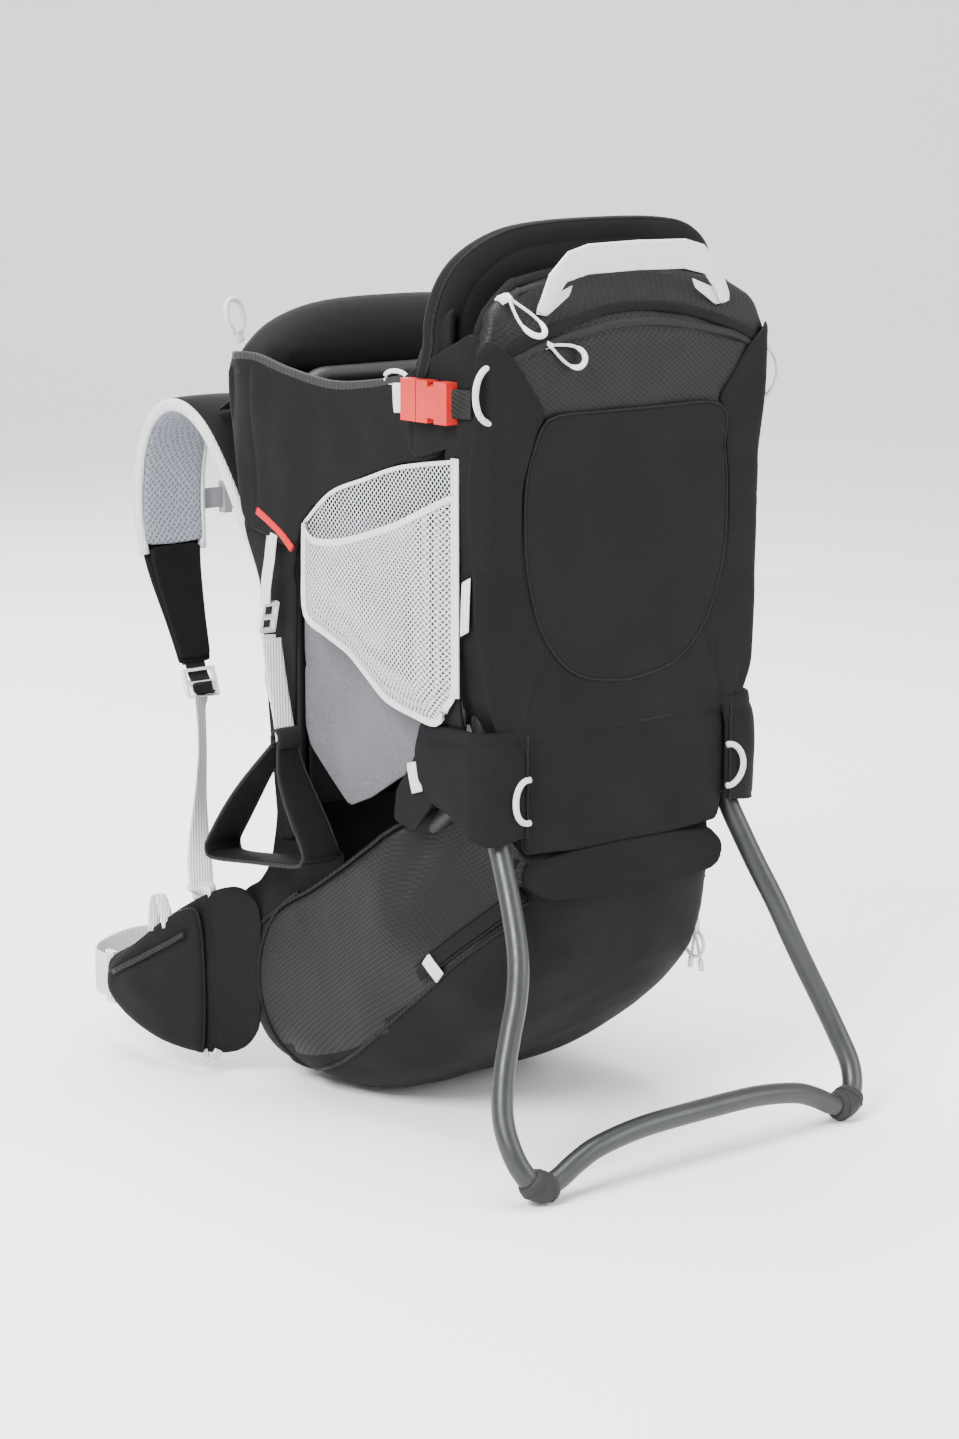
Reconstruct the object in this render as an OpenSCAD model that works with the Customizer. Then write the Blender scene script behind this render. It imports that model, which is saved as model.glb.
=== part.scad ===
// Child carrier backpack: padded cockpit on an aluminium frame, with a fold-out kickstand.
// Millimetres. +Z is up, +Y is the side the wearer's back is on, X = 0 is the plane of symmetry.
// The ground is Z = 0, so the origin lies under the middle of the standing pack.
// Shapes are drawn on the +X side (the wearer's right) and mirrored to the left.

/* [Pack] */
// Height of the top of the headrest
pack_h = 730; // [715:1:740]
// Y of the outer, rear face of the pack
face_y = -221; // [-221:0.5:-219]
// Outer half width across the cockpit side walls
wall_x = 146; // [144:1:146]
// Thickness of a side wall
wall_t = 6; // [3:1:8]
// Half width of the storage bag's middle
bag_x = 99; // [90:1:99]
// Half width of the storage bag's cheeks
cheek_x = 138; // [134:1:138]

/* [Frame] */
// Diameter of the frame tubes
frame_d = 16; // [14:1:16]
// Half spacing of the back hoop's uprights
hoop_x = 118; // [116:1:118]
// Y of the back hoop
hoop_y = 51; // [49:1:51]
// Y of the rear arch, and of the kickstand pivot
arch_y = -191; // [-193:1:-190]
// Half spacing of the rear arch's uprights and of the kickstand hubs
arch_x = 122; // [121:1:123]

/* [Kickstand] */
// Diameter of the kickstand tube
stand_d = 17; // [15:1:17]
// Height of the kickstand pivot
pivot_z = 291; // [290:1:292]
// Lean of the kickstand's top end from the vertical, towards the rear
lean = 30; // [29:1:31]
// Radius of the pivot bolts
bolt_r = 5; // [4:0.5:6]

/* [Webbing] */
// Width of the shoulder straps
strap_w = 70; // [60:1:72]
// Thickness of the shoulder straps
strap_t = 14; // [10:1:14]
// Width of the adjuster webbing
web_w = 25; // [20:1:25]
// Thickness of all flat webbing
web_t = 2; // [1.5:0.5:2.5]
// Width of the hip belt webbing
belt_w = 38; // [30:1:40]

/* [Hidden] */

fine = 64;               // facets of exact round surfaces
tube_sides = 12;         // sides of a swept tube
run_fit = 0.05;          // radial clearance of a turning pin
hold_fit = 0.05;         // radial clearance of a tube in its socket
gap = 0.5;               // clearance between neighbouring pieces
frame_r = frame_d / 2;
stand_r = stand_d / 2;
bend_r = 34;             // centreline radius of the frame bends
rail_r = 7;              // radius of the straight rails
stand_dir = [0, -sin(lean), -cos(lean)];
pivot = [arch_x, arch_y, pivot_z];

black = "#1b1d1f";
charcoal = "#3a3c3f";
pale = "#d9dadb";
grey = "#8b8a90";
gunmetal = "#5c6165";
coral = "#d94a46";

// ---- outlines ----
// Middle of the storage bag, seen from the side (Y, Z): rear column, round belly, sloping top
bag_outline = [[-214, 343], [-214, 240], [-228, 224], [-234, 214], [-215, 170], [-199, 132],
    [-166, 95], [-127, 65], [-77, 30], [-35, 10], [0, 0], [34, 0], [34, 168], [-34, 204],
    [-100, 228], [-180, 232], [-180, 343]];
// Cheek of the storage bag, up to its sloping upper seam (Y, Z)
cheek_outline = [[-118, 135], [-108, 66], [-77, 40], [-35, 16], [0, 5], [70, 4], [100, 12],
    [115, 34], [118, 62], [110, 110], [80, 140], [34, 165], [-34, 206], [-100, 250],
    [-128, 274], [-150, 296], [-166, 296], [-166, 135]];
// Room for the kickstand's swing beside the bag (Y, Z)
swing_outline = [[-340, 320], [-340, 60], [-240, 60], [-191, 119], [-118, 135], [-150, 320]];
// Half outlines of the rear pieces, seen from behind (X, Z)
body_half = [[0, 345], [132, 345], [wall_x, 430], [wall_x, 598], [0, 598]];
pocket_half = [[0, 600], [wall_x, 600], [wall_x, 648], [118, 676], [60, 690], [0, 690]];
rest_half = [[0, 600], [wall_x, 600], [wall_x, 650], [141, pack_h - 47], [116, pack_h - 14],
    [71, pack_h], [0, pack_h]];
oval_half = [[0, 372], [35, 376], [78, 402], [102, 450], [107, 500], [104, 545], [88, 572],
    [0, 572]];
pad_half = [[0, 607], [wall_x, 607], [wall_x, 622], [115, 645], [75, 655], [0, 655]];
handle_half = [[0, 716], [62, 712], [92, 688], [99, 664], [87, 664], [80, 680], [58, 690],
    [0, 694]];
// Side wall of the cockpit (Y, Z)
wall_outline = [[60.5, 494], [60.5, 617], [20, 608], [-38, 602], [-90, 606], [-126, 614],
    [-170, 616], [-170, 557], [-126, 548], [-37, 518], [2, 490], [13, 470]];
// Side pocket of mesh: whole outline, inside, and what is open above its rim (Y, Z)
mesh_outline = [[-3, 411], [-3, 486], [-37, 513], [-126, 543], [-189, 552], [-191, 381],
    [-168, 350], [-106, 361], [-60, 392]];
mesh_inside = [[-6, 414], [-6, 600], [-186, 600], [-188, 384], [-167, 354], [-108, 365],
    [-60, 396]];
mesh_open = [[10, 470], [10, 600], [-200, 600], [-200, 522], [-150, 503], [-95, 488],
    [-40, 478]];
mesh_x0 = 147.5;         // inner face of the mesh pocket
mesh_x1 = 166;           // outer face of the mesh pocket
mesh_t = 2.5;            // thickness of each mesh layer with its binding
// Grey inner side of the cockpit (Y, Z)
wing_outline = [[36, 312], [-21, 254], [-86, 288], [-168, 332], [-168, 526], [36, 526]];
// Route of the kickstand tube on the right, below its straight top end
stand_route = [[124, -217, 245], [130, -236, 210], [138, -253, 177], [147, -262, 149],
    [159, -268, 121], [171, -275, 93], [180, -285, 65], [182, -298, 42], [176, -307, 24],
    [163, -310, 14], [148, -311, 17], [128, -311, 27], [105, -311, 35], [60, -311, 41],
    [0, -311, 42]];
// Route of a shoulder strap (X, Y, Z), from the yoke over the shoulder to its lower end
strap_route = [[66, 110, 396], [72, 117, 430], [79, 131, 470], [84, 151, 512], [88, 178, 548],
    [90, 210, 562], [90, 242, 551], [90, 262, 520], [90, 269, 472], [90, 263, 422],
    [90, 249, 376], [90, 233, 334]];
// Stations of a hip wing: X, Y, lowest Z, highest Z
wing_stations = [[149, 66, 34, 140], [150, 100, 24, 166], [156, 135, 20, 152],
    [166, 170, 22, 134], [173, 205, 34, 108], [174, 240, 46, 84]];
wing_t = 16;             // thickness of a hip wing
pouch_t = 11;            // thickness of the pocket on it
// Route of the hip belt webbing (X, Y) at its middle height
belt_route = [[175, 256], [170, 278], [150, 299], [115, 311], [75, 317]];
belt_z = 64;
// A stirrup, seen from the side (Y, Z): a closed loop of padded webbing
stirrup_loop = [[26, 306], [70, 262], [108, 214], [114, 202], [106, 195], [50, 201],
    [-8, 208], [-19, 214], [-19, 224], [14, 274], [22, 306]];
stirrup_x = 150;         // X of the middle of a stirrup
stirrup_w = 36;          // width of a stirrup's band

zip_r = 420;             // radius of both arched zips
zip_w = 7;               // width of a zip's trim
pocket_zip_c = [0, face_y - 2, 652 - zip_r];
shade_zip_c = [0, -196, 684] - zip_r * [0, sqrt(0.5), sqrt(0.5)];
pocket_zip_at = 12.6;    // turn of the pocket's slider from the middle of its zip
shade_zip_at = 16.3;     // turn of the upper slider from the middle of its zip

// ---- helpers ----
function unit(v) = v / norm(v);
function blend4(a, b, c, d, t) = 0.5 * ((2 * b) + (c - a) * t + (2 * a - 5 * b + 4 * c - d) * t * t
    + (3 * b - a - 3 * c + d) * t * t * t);
// A smooth curve through points, with k steps between neighbours
function smooth(p, k) = let (n = len(p)) concat(
    [for (i = [0:n - 2], j = [0:k - 1])
        blend4(p[max(i - 1, 0)], p[i], p[i + 1], p[min(i + 2, n - 1)], j / k)],
    [p[n - 1]]);
function heading(p, i) = unit(p[min(i + 1, len(p) - 1)] - p[max(i - 1, 0)]);
// Both halves of an outline or route that is given from X = 0 outwards
function whole(h) = concat(h, [for (i = [len(h) - 1:-1:0]) if (h[i][0] > 0) [-h[i][0], h[i][1]]]);

// A closed solid through rings of points, all with the same number of points
module loft(rings) {
    n = len(rings);
    m = len(rings[0]);
    points = [for (r = rings) for (p = r) p];
    walls = [for (i = [0:n - 2], j = [0:m - 1])
        [i * m + j, i * m + (j + 1) % m, (i + 1) * m + (j + 1) % m, (i + 1) * m + j]];
    polyhedron(points, concat([[for (j = [m - 1:-1:0]) j]], walls,
        [[for (j = [0:m - 1]) (n - 1) * m + j]]), convexity = 8);
}

// A round tube along a path; up is never along the path
module tube(path, r, up) {
    loft([for (i = [0:len(path) - 1])
        let (t = heading(path, i), s = unit(cross(up, t)), w = cross(t, s))
        [for (j = [0:tube_sides - 1])
            path[i] + r * cos(360 * j / tube_sides) * s + r * sin(360 * j / tube_sides) * w]]);
}

// A flat band along a path, w wide along the direction u and t thick
module band(path, w, t, u) {
    loft([for (i = [0:len(path) - 1])
        let (h = heading(path, i), v = unit(cross(h, u)), s = unit(cross(v, h)))
        [for (q = [[-1, -1], [1, -1], [1, 1], [-1, 1]])
            path[i] + q[0] * w / 2 * s + q[1] * t / 2 * v]]);
}

// A slab with a side outline (Y, Z), from x0 to x1
module side_slab(outline, x0, x1) {
    translate([x0, 0, 0]) rotate([90, 0, 90]) linear_extrude(x1 - x0) polygon(outline);
}

// A slab with a rear outline (X, Z), from y0 to y1
module face_slab(outline, y0, y1) {
    translate([0, y1, 0]) rotate([90, 0, 0]) linear_extrude(y1 - y0) polygon(outline);
}

module block(a, b) { translate(a) cube(b - a); }
module left() { mirror([1, 0, 0]) children(); }
module both() {
    children();
    left() children();
}
// A cylinder from one point to another
module rod(a, b, r) {
    d = b - a;
    translate(a) rotate([0, acos(d[2] / norm(d)), atan2(d[1], d[0])])
        cylinder(h = norm(d), r = r, $fn = fine);
}
// A quarter bend in the XZ plane, centred on c, from angle a
module bend(c, a, r) {
    translate(c) rotate([90, 0, 0]) rotate([0, 0, a])
        rotate_extrude(angle = 90, $fn = fine) translate([bend_r, 0]) circle(r, $fn = fine);
}
// An arch of tube in a plane of constant Y: half width x, from z0 up to z1
module arch(x, y, z0, z1, r) {
    both() {
        rod([x, y, z0], [x, y, z1 - bend_r], r);
        bend([x - bend_r, y, z1 - bend_r], 0, r);
    }
    rod([-x + bend_r, y, z1], [x - bend_r, y, z1], r);
}

// ---- frame ----
foot_z = 80;             // height of the back hoop's lower tube
module back_frame() {
    color("silver") {
        arch(hoop_x, hoop_y, foot_z + bend_r, 596, frame_r);
        both() bend([hoop_x - bend_r, hoop_y, foot_z + bend_r], 270, frame_r);
        rod([-hoop_x + bend_r, hoop_y, foot_z], [hoop_x - bend_r, hoop_y, foot_z], frame_r);
    }
}
rim_rail = [120, arch_y + frame_r + gap, 545];
module rear_frame() {
    color("silver") arch(arch_x, arch_y, 310, 588, frame_r);
}
// Straight rails from the rear arch to the back hoop: one pair low, one pair at the rim
module frame_rails() {
    color("silver") both() {
        rod([107, -169, 295], [107, 29, 133], rail_r);
        rod(rim_rail, [rim_rail[0], hoop_y - frame_r - gap, rim_rail[2]], rail_r);
    }
}
// Moulded clamps that join the lower rails to the back hoop
module frame_clamps() {
    color(charcoal) both() difference() {
        block([99.5, 36, foot_z + bend_r + 1], [129, 61, 142]);
        rod([hoop_x, hoop_y, 90], [hoop_x, hoop_y, 150], frame_r + hold_fit);
    }
}
module framesheet() {
    color(charcoal) block([-104, 62, 66], [104, 64.5, 556]);
}

// ---- kickstand ----
ear_in = 12.4;           // half distance between a bracket's ears
ear_t = 3.6;             // thickness of an ear
ear_r = 15;              // radius of an ear's round end
hub_w = 2 * ear_in - 0.8;
module kickstand_brackets() {
    x0 = arch_x - ear_in - ear_t;
    x1 = arch_x + ear_in + ear_t;
    seat_z = pivot_z + 18;
    color(charcoal) both() difference() {
        union() {
            block([x0, arch_y - ear_r, seat_z - 2], [x1, arch_y + ear_r, seat_z + 30]);
            for (x = [x0, x1 - ear_t]) {
                block([x, arch_y - ear_r, pivot_z], [x + ear_t, arch_y + ear_r, seat_z]);
                rod([x, arch_y, pivot_z], [x + ear_t, arch_y, pivot_z], ear_r);
            }
        }
        rod([arch_x, arch_y, seat_z], [arch_x, arch_y, seat_z + 40], frame_r + hold_fit);
        rod([x0 - 1, arch_y, pivot_z], [x1 + 1, arch_y, pivot_z], bolt_r + hold_fit);
    }
}
module pivot_bolts() {
    head_t = 2.4;
    reach = ear_in + ear_t + 0.2;
    color("silver") both() {
        rod(pivot - [reach, 0, 0], pivot + [reach, 0, 0], bolt_r);
        for (s = [-1, 1]) rod(pivot + [s * reach, 0, 0], pivot + [s * (reach + head_t), 0, 0], bolt_r + 3);
    }
}
hub_start = 13;          // distance from the pivot to the tube's end
hub_end = 33;            // distance from the pivot to the mouth of the hub's socket
module kickstand_hubs() {
    color(charcoal) both() difference() {
        union() {
            rod(pivot - [hub_w / 2, 0, 0], pivot + [hub_w / 2, 0, 0], 13.5);
            rod(pivot, pivot + hub_end * stand_dir, stand_r + 2.8);
        }
        rod(pivot - [20, 0, 0], pivot + [20, 0, 0], bolt_r + run_fit);
        rod(pivot + hub_start * stand_dir, pivot + (hub_end + 5) * stand_dir, stand_r + hold_fit);
    }
}
module kickstand_tube() {
    top = [for (s = [hub_start + 0.2, 22, hub_end + 1]) pivot + s * stand_dir];
    half = concat(top, smooth(stand_route, 3));
    path = concat(half, [for (i = [len(half) - 2:-1:0]) [-half[i][0], half[i][1], half[i][2]]]);
    color(gunmetal) tube(path, stand_r, [0, 1, 0]);
}
foot_c = [163, -311, 12.4];
module kickstand_feet() {
    color(black) both() difference() {
        rod(foot_c - [13, 0, 0], foot_c + [13, 0, 0], 13);
        block([foot_c[0] - 20, -340, -5], [foot_c[0] + 20, -280, 0]);
    }
}

// ---- bags ----
module lower_bag() {
    low = [for (p = cheek_outline) if (p[1] < 118 && p[0] < 20) p];
    rear = [for (p = cheek_outline) [min(p[0], 33), p[1]]];
    color(black) {
        difference() {
            union() {
                side_slab(bag_outline, -bag_x, bag_x);
                both() {
                    side_slab(concat(low, [[33, 4], [33, 100]]), bag_x - 1, cheek_x);
                    side_slab(rear, 116, cheek_x);
                    side_slab(cheek_outline, 130, cheek_x);
                }
            }
            both() side_slab(swing_outline, bag_x, cheek_x + 10);
        }
    }
}
module lower_flap() {
    color(black) face_slab([[-106, 243], [106, 243], [107, 342], [-107, 342]],
        face_y, -214.5);
}
module pack_body() {
    color(black) difference() {
        face_slab(whole(body_half), face_y, -173);
        arch(arch_x, arch_y, 300, 588, frame_r + 0.6);
        both() rod(rim_rail, rim_rail + [0, 20, 0], rail_r + 0.6);
    }
}
module stretch_pocket() {
    color(charcoal) face_slab(whole(oval_half), face_y - 3.5, face_y - 0.3);
}
module top_pocket() {
    color(black) intersection() {
        face_slab(whole(pocket_half), -230, -189);
        side_slab([[-190, 595], [-223, 595], [-223, 657], [-190, 690]], -200, 200);
    }
}
module headrest() {
    color(black) face_slab(whole(rest_half), -189, -172);
}
// Fabric covers over the kickstand brackets, open underneath for the tubes
module side_housings() {
    color(black) both() {
        side_slab([[-227, 262], [-150, 276], [-150, 330], [-227, 344]], 141.5, 144.5);
        block([108, -227, 262], [142, -224, 344]);
    }
}
// Places things on the front pocket's zip, or on the sloping one above it: X runs across,
// Y up along the fabric and Z out of it, turned about the zip's centre
module on_pocket_zip(turn) {
    translate(pocket_zip_c) rotate([90, 0, 0]) rotate([0, 0, turn]) children();
}
module on_shade_zip(turn) {
    translate(shade_zip_c) rotate([45, 0, 0]) rotate([0, 0, turn]) children();
}
module zip_arc(half_angle) {
    rotate([0, 0, 90 - half_angle]) rotate_extrude(angle = 2 * half_angle, $fn = 4 * fine)
        translate([zip_r - zip_w / 2, 0.4]) square([zip_w, 1.2]);
}
// Raised trims of the two arched zips
module zip_trims() {
    color(charcoal) {
        on_pocket_zip(0) zip_arc(16);
        on_shade_zip(0) zip_arc(18);
    }
}
module zip_slider() {
    translate([0, zip_r, 4]) {
        cube([10, 8, 4], center = true);
        translate([0, -3, 2]) cube([3, 2, 3], center = true);
    }
}
// A ring of cord that hangs from a slider, turned about it, with its middle at height out
module zip_pull(turn, out) {
    translate([0, zip_r - 4, out]) rotate([0, 0, turn]) translate([0, -12.5, 0])
        rotate_extrude($fn = fine) translate([10.5, 0]) circle(1.5, $fn = fine);
}
module pocket_zip_slider() { color(pale) on_pocket_zip(pocket_zip_at) zip_slider(); }
module pocket_zip_pull() { color(pale) on_pocket_zip(pocket_zip_at) zip_pull(52, 7.7); }
module shade_zip_slider() { color(pale) on_shade_zip(shade_zip_at) zip_slider(); }
module shade_zip_pull() { color(pale) on_shade_zip(shade_zip_at) zip_pull(0, 6.5); }
// The slider of the storage bag's zip, with its cord ring, on the right side of the bag
module bag_zip_slider() {
    color(pale) {
        block([bag_x + 0.4, -200, 146], [bag_x + 5, -192, 158]);
        translate([bag_x + 3, -196, 136.5]) rotate([0, 90, 0])
            rotate_extrude($fn = fine) translate([11, 0]) circle(1.5, $fn = fine);
    }
}

// ---- cockpit ----
module front_wall() {
    color(black) side_slab([[66, 482], [66, 606], [108, 606], [106, 560], [84, 482]], -wall_x, wall_x);
}
module drool_pad() {
    color(charcoal) intersection() {
        face_slab(whole(pad_half), 50, 120);
        side_slab([[61, 607], [61, 648], [68, 655], [98, 655], [108, 645], [108, 607]], -150, 150);
    }
}
module cockpit_lining() {
    color(charcoal) block([-104, 38, 240], [104, 41, 586]);
}
module side_walls() {
    color(black) both() side_slab(wall_outline, wall_x - wall_t, wall_x);
}
// Reinforced tabs that carry the side buckles
module side_tabs() {
    color(black) both() side_slab([[-221, 640], [-196, 640], [-127, 609], [-138, 558], [-221, 576]],
        wall_x + gap, wall_x + gap + 3);
}
module seat_wings() {
    color(grey) both() side_slab(wing_outline, 117, 120);
}
module edge_gussets() {
    color(black) both() side_slab([[44, 215], [64, 215], [86, 440], [90, 480], [44, 480]],
        hoop_x + frame_r + gap, 131);
}
module mesh_pockets() {
    color(pale) both() difference() {
        side_slab(mesh_outline, mesh_x0, mesh_x1);
        side_slab(mesh_inside, mesh_x0 + mesh_t, mesh_x1 - mesh_t);
        side_slab(mesh_open, mesh_x0 + mesh_t, mesh_x1 + 1);
    }
}

// ---- child seat ----
module child_seat_base() {
    half = [[0, 34], [44, 34], [40, 0], [46, -60], [84, -100], [84, -158], [0, -158]];
    color(grey) translate([0, 0, 296]) linear_extrude(16) polygon(whole(half));
}
module child_seat_back() {
    color(grey) face_slab(whole([[0, 313], [84, 313], [84, 500], [66, 520], [0, 520]]), -170, -156);
}
module child_harness() {
    color(charcoal) {
        both() block([26, -155, 316], [50, -153, 512]);
        block([-26, -155, 420], [26, -152.5, 445]);
        block([-18, -60, 312.5], [18, -22, 322]);
        block([-12.5, -152, 312.5], [12.5, -61, 314.5]);
    }
}

// ---- back, belt and harness ----
module back_panel() {
    outline = [[66, 178], [84, 178], [90, 330], [97, 430], [92, 480], [66, 480]];
    color(charcoal) side_slab(outline, -112, 112);
}
module lumbar_pad() {
    color(charcoal) side_slab([[66, 54], [100, 54], [120, 76], [124, 110], [112, 150], [90, 174],
        [66, 174]], -108, 108);
}
// A padded piece through the hip stations, from depth a to depth b across its thickness
module wing_piece(stations, a, b, inset) {
    c = 6;
    xy = [for (s = stations) [s[0], s[1], 0]];
    loft([for (i = [0:len(stations) - 1])
        let (h = heading(xy, i), n = [h[1], -h[0], 0], z0 = stations[i][2] + inset,
            z1 = stations[i][3] - inset)
        [for (q = [[a, z0 + c], [a, z1 - c], [a + c / 2, z1], [b - c / 2, z1], [b, z1 - c],
            [b, z0 + c], [b - c / 2, z0], [a + c / 2, z0]])
            xy[i] + q[0] * n + [0, 0, q[1]]]]);
}
module hip_wings() { color(black) both() wing_piece(wing_stations, -wing_t / 2, wing_t / 2, 0); }
module hip_pockets() {
    stations = [for (i = [2:5]) wing_stations[i]];
    color(black) both() wing_piece(stations, wing_t / 2 + 0.4, wing_t / 2 + pouch_t, 4);
}
// A moulded strap adjuster: a frame with two slots and a bar, flat in the XZ plane
module adjuster(w, h, t) {
    bar = 2.6;
    slot = (h - 3 * bar) / 2;
    difference() {
        translate([-w / 2, -t / 2, -h / 2]) cube([w, t, h]);
        for (z = [-h / 2 + bar, bar / 2]) translate([-w / 2 + bar, -t, z]) cube([w - 2 * bar, 2 * t, slot]);
    }
}
module belt_adjusters() {
    color(pale) both() translate([174.5, 247.5, belt_z]) rotate([0, 90, 90])
        adjuster(belt_w + 8, 12, 5);
}
// Belt webbing from an adjuster to the buckle, whose near end is end_x from the middle
module belt_webbing(end_x) {
    path = [for (p = concat(belt_route, [[end_x, 318]])) [p[0], p[1], belt_z]];
    color(pale) band(smooth(path, 3), belt_w, web_t, [0, 0, 1]);
}
module belt_webbing_left() { left() belt_webbing(34); }
module belt_webbing_right() { belt_webbing(18.5); }
// Side-release buckle, lying along X with its mouth towards +X and its middle at the origin
module buckle_socket(l, w, t) {
    wall = 2.2;
    difference() {
        translate([-l, -t / 2, -w / 2]) cube([l, t, w]);
        translate([-l + 7, -t / 2 + wall, -w / 2 + wall]) cube([l, t - 2 * wall, w - 2 * wall]);
        for (s = [-1, 1]) translate([-l / 2 - 3, -t, s * (w / 2 - 1) - 3]) cube([8, 2 * t, 6]);
    }
}
module buckle_plug(l, w, t) {
    wall = 2.2;
    play = 0.5;
    prong_t = t - 2 * wall - 2 * play;
    translate([1, -t / 2, -w / 2]) cube([l / 2, t, w]);
    for (z = [-w / 2 + wall + play, -1.5, w / 2 - wall - play - 4])
        translate([-l + 12, -prong_t / 2, z]) cube([l - 10.5, prong_t, z == -1.5 ? 3 : 4]);
}
belt_buckle = [0, 318, belt_z];
module belt_buckle_socket() {
    color(pale) translate(belt_buckle) buckle_socket(33, 46, 12);
}
module belt_buckle_plug() {
    color(pale) translate(belt_buckle) buckle_plug(33, 46, 12);
}
module yoke() {
    color(black) side_slab([[99, 392], [99, 470], [106, 466], [102.6, 392]], -66, 66);
}
module shoulder_straps() {
    color(black) both() band(smooth(strap_route, 3), strap_w, strap_t, [1, 0, 0]);
}
strap_end = strap_route[len(strap_route) - 1];
module strap_adjusters() {
    color(pale) both() translate(strap_end + [0, -6, -17]) rotate([-20, 0, 0]) adjuster(web_w + 8, 26, 5);
}
module strap_webbing() {
    route = [[96, 219, 300], [104, 206, 262], [118, 190, 222], [134, 170, 188], [147, 150, 162]];
    color(pale) both() band(smooth(route, 2), web_w, web_t, [1, 0.6, 0]);
}
module load_lifters() {
    color(black) both() band(smooth([[92, 176, 560], [94, 150, 574], [95, 122, 589], [96, 109, 596]], 2),
        20, web_t, [1, 0, 0]);
}
sternum = [-10, 272, 470];
module sternum_strap() {
    color(grey) {
        translate(sternum) buckle_socket(22, 28, 9);
        block([-54.5, 271, 461], [-32.3, 273, 479]);
    }
}
module sternum_plug() { color(grey) translate(sternum) buckle_plug(22, 28, 9); }
module sternum_webbing() { color(grey) block([2.3, 271, 461], [54.5, 273, 479]); }
module stirrup() {
    loop = [for (p = stirrup_loop) [stirrup_x, p[0], p[1]]];
    hang = [[stirrup_x, 42, 387], [stirrup_x, 36, 350], [stirrup_x, 27, 320], [stirrup_x, 24, 307]];
    color(black) band(smooth(loop, 3), stirrup_w, 3, [1, 0, 0]);
    color(pale) band(smooth(hang, 2), 20, web_t, [1, 0, 0]);
}
module stirrup_left() { left() stirrup(); }
module stirrup_right() { stirrup(); }
module stirrup_anchors() {
    color(pale) both() translate([stirrup_x - 1, 48, 404]) rotate([14, 0, 0]) adjuster(16, 26, 5);
}

// ---- small parts ----
module grab_handle() {
    color(pale) face_slab(whole(handle_half), face_y - 10.5, face_y - 6.5);
}
// A half ring of webbing in the XZ plane, bulging away from the middle
module half_loop(c, r) {
    translate(c) rotate([90, 0, 0]) rotate([0, 0, -90])
        rotate_extrude(angle = 180, $fn = fine) translate([r - 5, 0]) square([5, 3]);
}
module gear_loops() {
    color(pale) both() {
        half_loop([107, -227.3, 291], 17.5);
        half_loop([140, -223.5, 606], 22.5);
    }
}
module cord_loops() {
    color(pale) both() translate([140, 96, 646]) rotate([90, 0, 0])
        rotate_extrude($fn = fine) translate([13, 0]) circle(1.8, $fn = fine);
}
// Side buckles lie along Y on the tabs, mouths towards the wearer
side_buckle = [wall_x + 9.7, -160, 598];
module side_buckle_frame() { translate(side_buckle) rotate([0, 0, 90]) children(); }
module side_buckle_sockets() {
    color(coral) both() side_buckle_frame() buckle_socket(36, 32, 11);
}
module side_plug() { color(coral) side_buckle_frame() buckle_plug(36, 32, 11); }
module side_plug_left() { left() side_plug(); }
module side_plug_right() { side_plug(); }

back_frame();
rear_frame();
frame_rails();
frame_clamps();
framesheet();
kickstand_brackets();
pivot_bolts();
kickstand_hubs();
kickstand_tube();
kickstand_feet();
lower_bag();
lower_flap();
pack_body();
stretch_pocket();
top_pocket();
headrest();
side_housings();
zip_trims();
front_wall();
drool_pad();
cockpit_lining();
side_walls();
side_tabs();
seat_wings();
edge_gussets();
mesh_pockets();
child_seat_base();
child_seat_back();
child_harness();
back_panel();
lumbar_pad();
hip_wings();
hip_pockets();
belt_adjusters();
belt_webbing_left();
belt_webbing_right();
belt_buckle_socket();
belt_buckle_plug();
yoke();
shoulder_straps();
strap_adjusters();
strap_webbing();
load_lifters();
sternum_strap();
sternum_webbing();
sternum_plug();
stirrup_left();
stirrup_right();
stirrup_anchors();
grab_handle();
gear_loops();
cord_loops();
side_buckle_sockets();
side_plug_left();
side_plug_right();
shade_zip_slider();
shade_zip_pull();
pocket_zip_slider();
pocket_zip_pull();
bag_zip_slider();
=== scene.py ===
"""Looks of the child carrier backpack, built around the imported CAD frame.

Points in this script are in millimetres, in the CAD model's frame: +Z up, +Y towards the wearer, the
pack's left side at -X. mesh_object() turns them into metres.
"""

import math

import bmesh
import bpy
import numpy as np
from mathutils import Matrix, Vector, geometry, noise


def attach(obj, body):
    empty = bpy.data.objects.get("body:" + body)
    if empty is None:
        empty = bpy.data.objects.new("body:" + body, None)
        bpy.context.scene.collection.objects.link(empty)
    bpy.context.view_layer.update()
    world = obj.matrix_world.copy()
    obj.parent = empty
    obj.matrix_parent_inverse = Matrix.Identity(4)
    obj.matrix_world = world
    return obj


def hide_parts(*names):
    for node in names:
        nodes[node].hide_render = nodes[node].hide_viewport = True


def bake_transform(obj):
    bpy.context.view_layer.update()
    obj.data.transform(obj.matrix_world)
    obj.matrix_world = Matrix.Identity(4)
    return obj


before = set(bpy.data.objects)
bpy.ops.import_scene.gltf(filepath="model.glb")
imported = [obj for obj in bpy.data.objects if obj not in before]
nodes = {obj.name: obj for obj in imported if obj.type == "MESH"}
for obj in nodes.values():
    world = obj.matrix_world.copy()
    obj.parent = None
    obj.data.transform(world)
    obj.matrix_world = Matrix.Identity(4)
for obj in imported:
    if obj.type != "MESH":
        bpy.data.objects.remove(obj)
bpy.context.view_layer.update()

MM = 0.001
BOTH = ((-1, "left"), (1, "right"))      # sign of X, and the word in a piece's name


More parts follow.
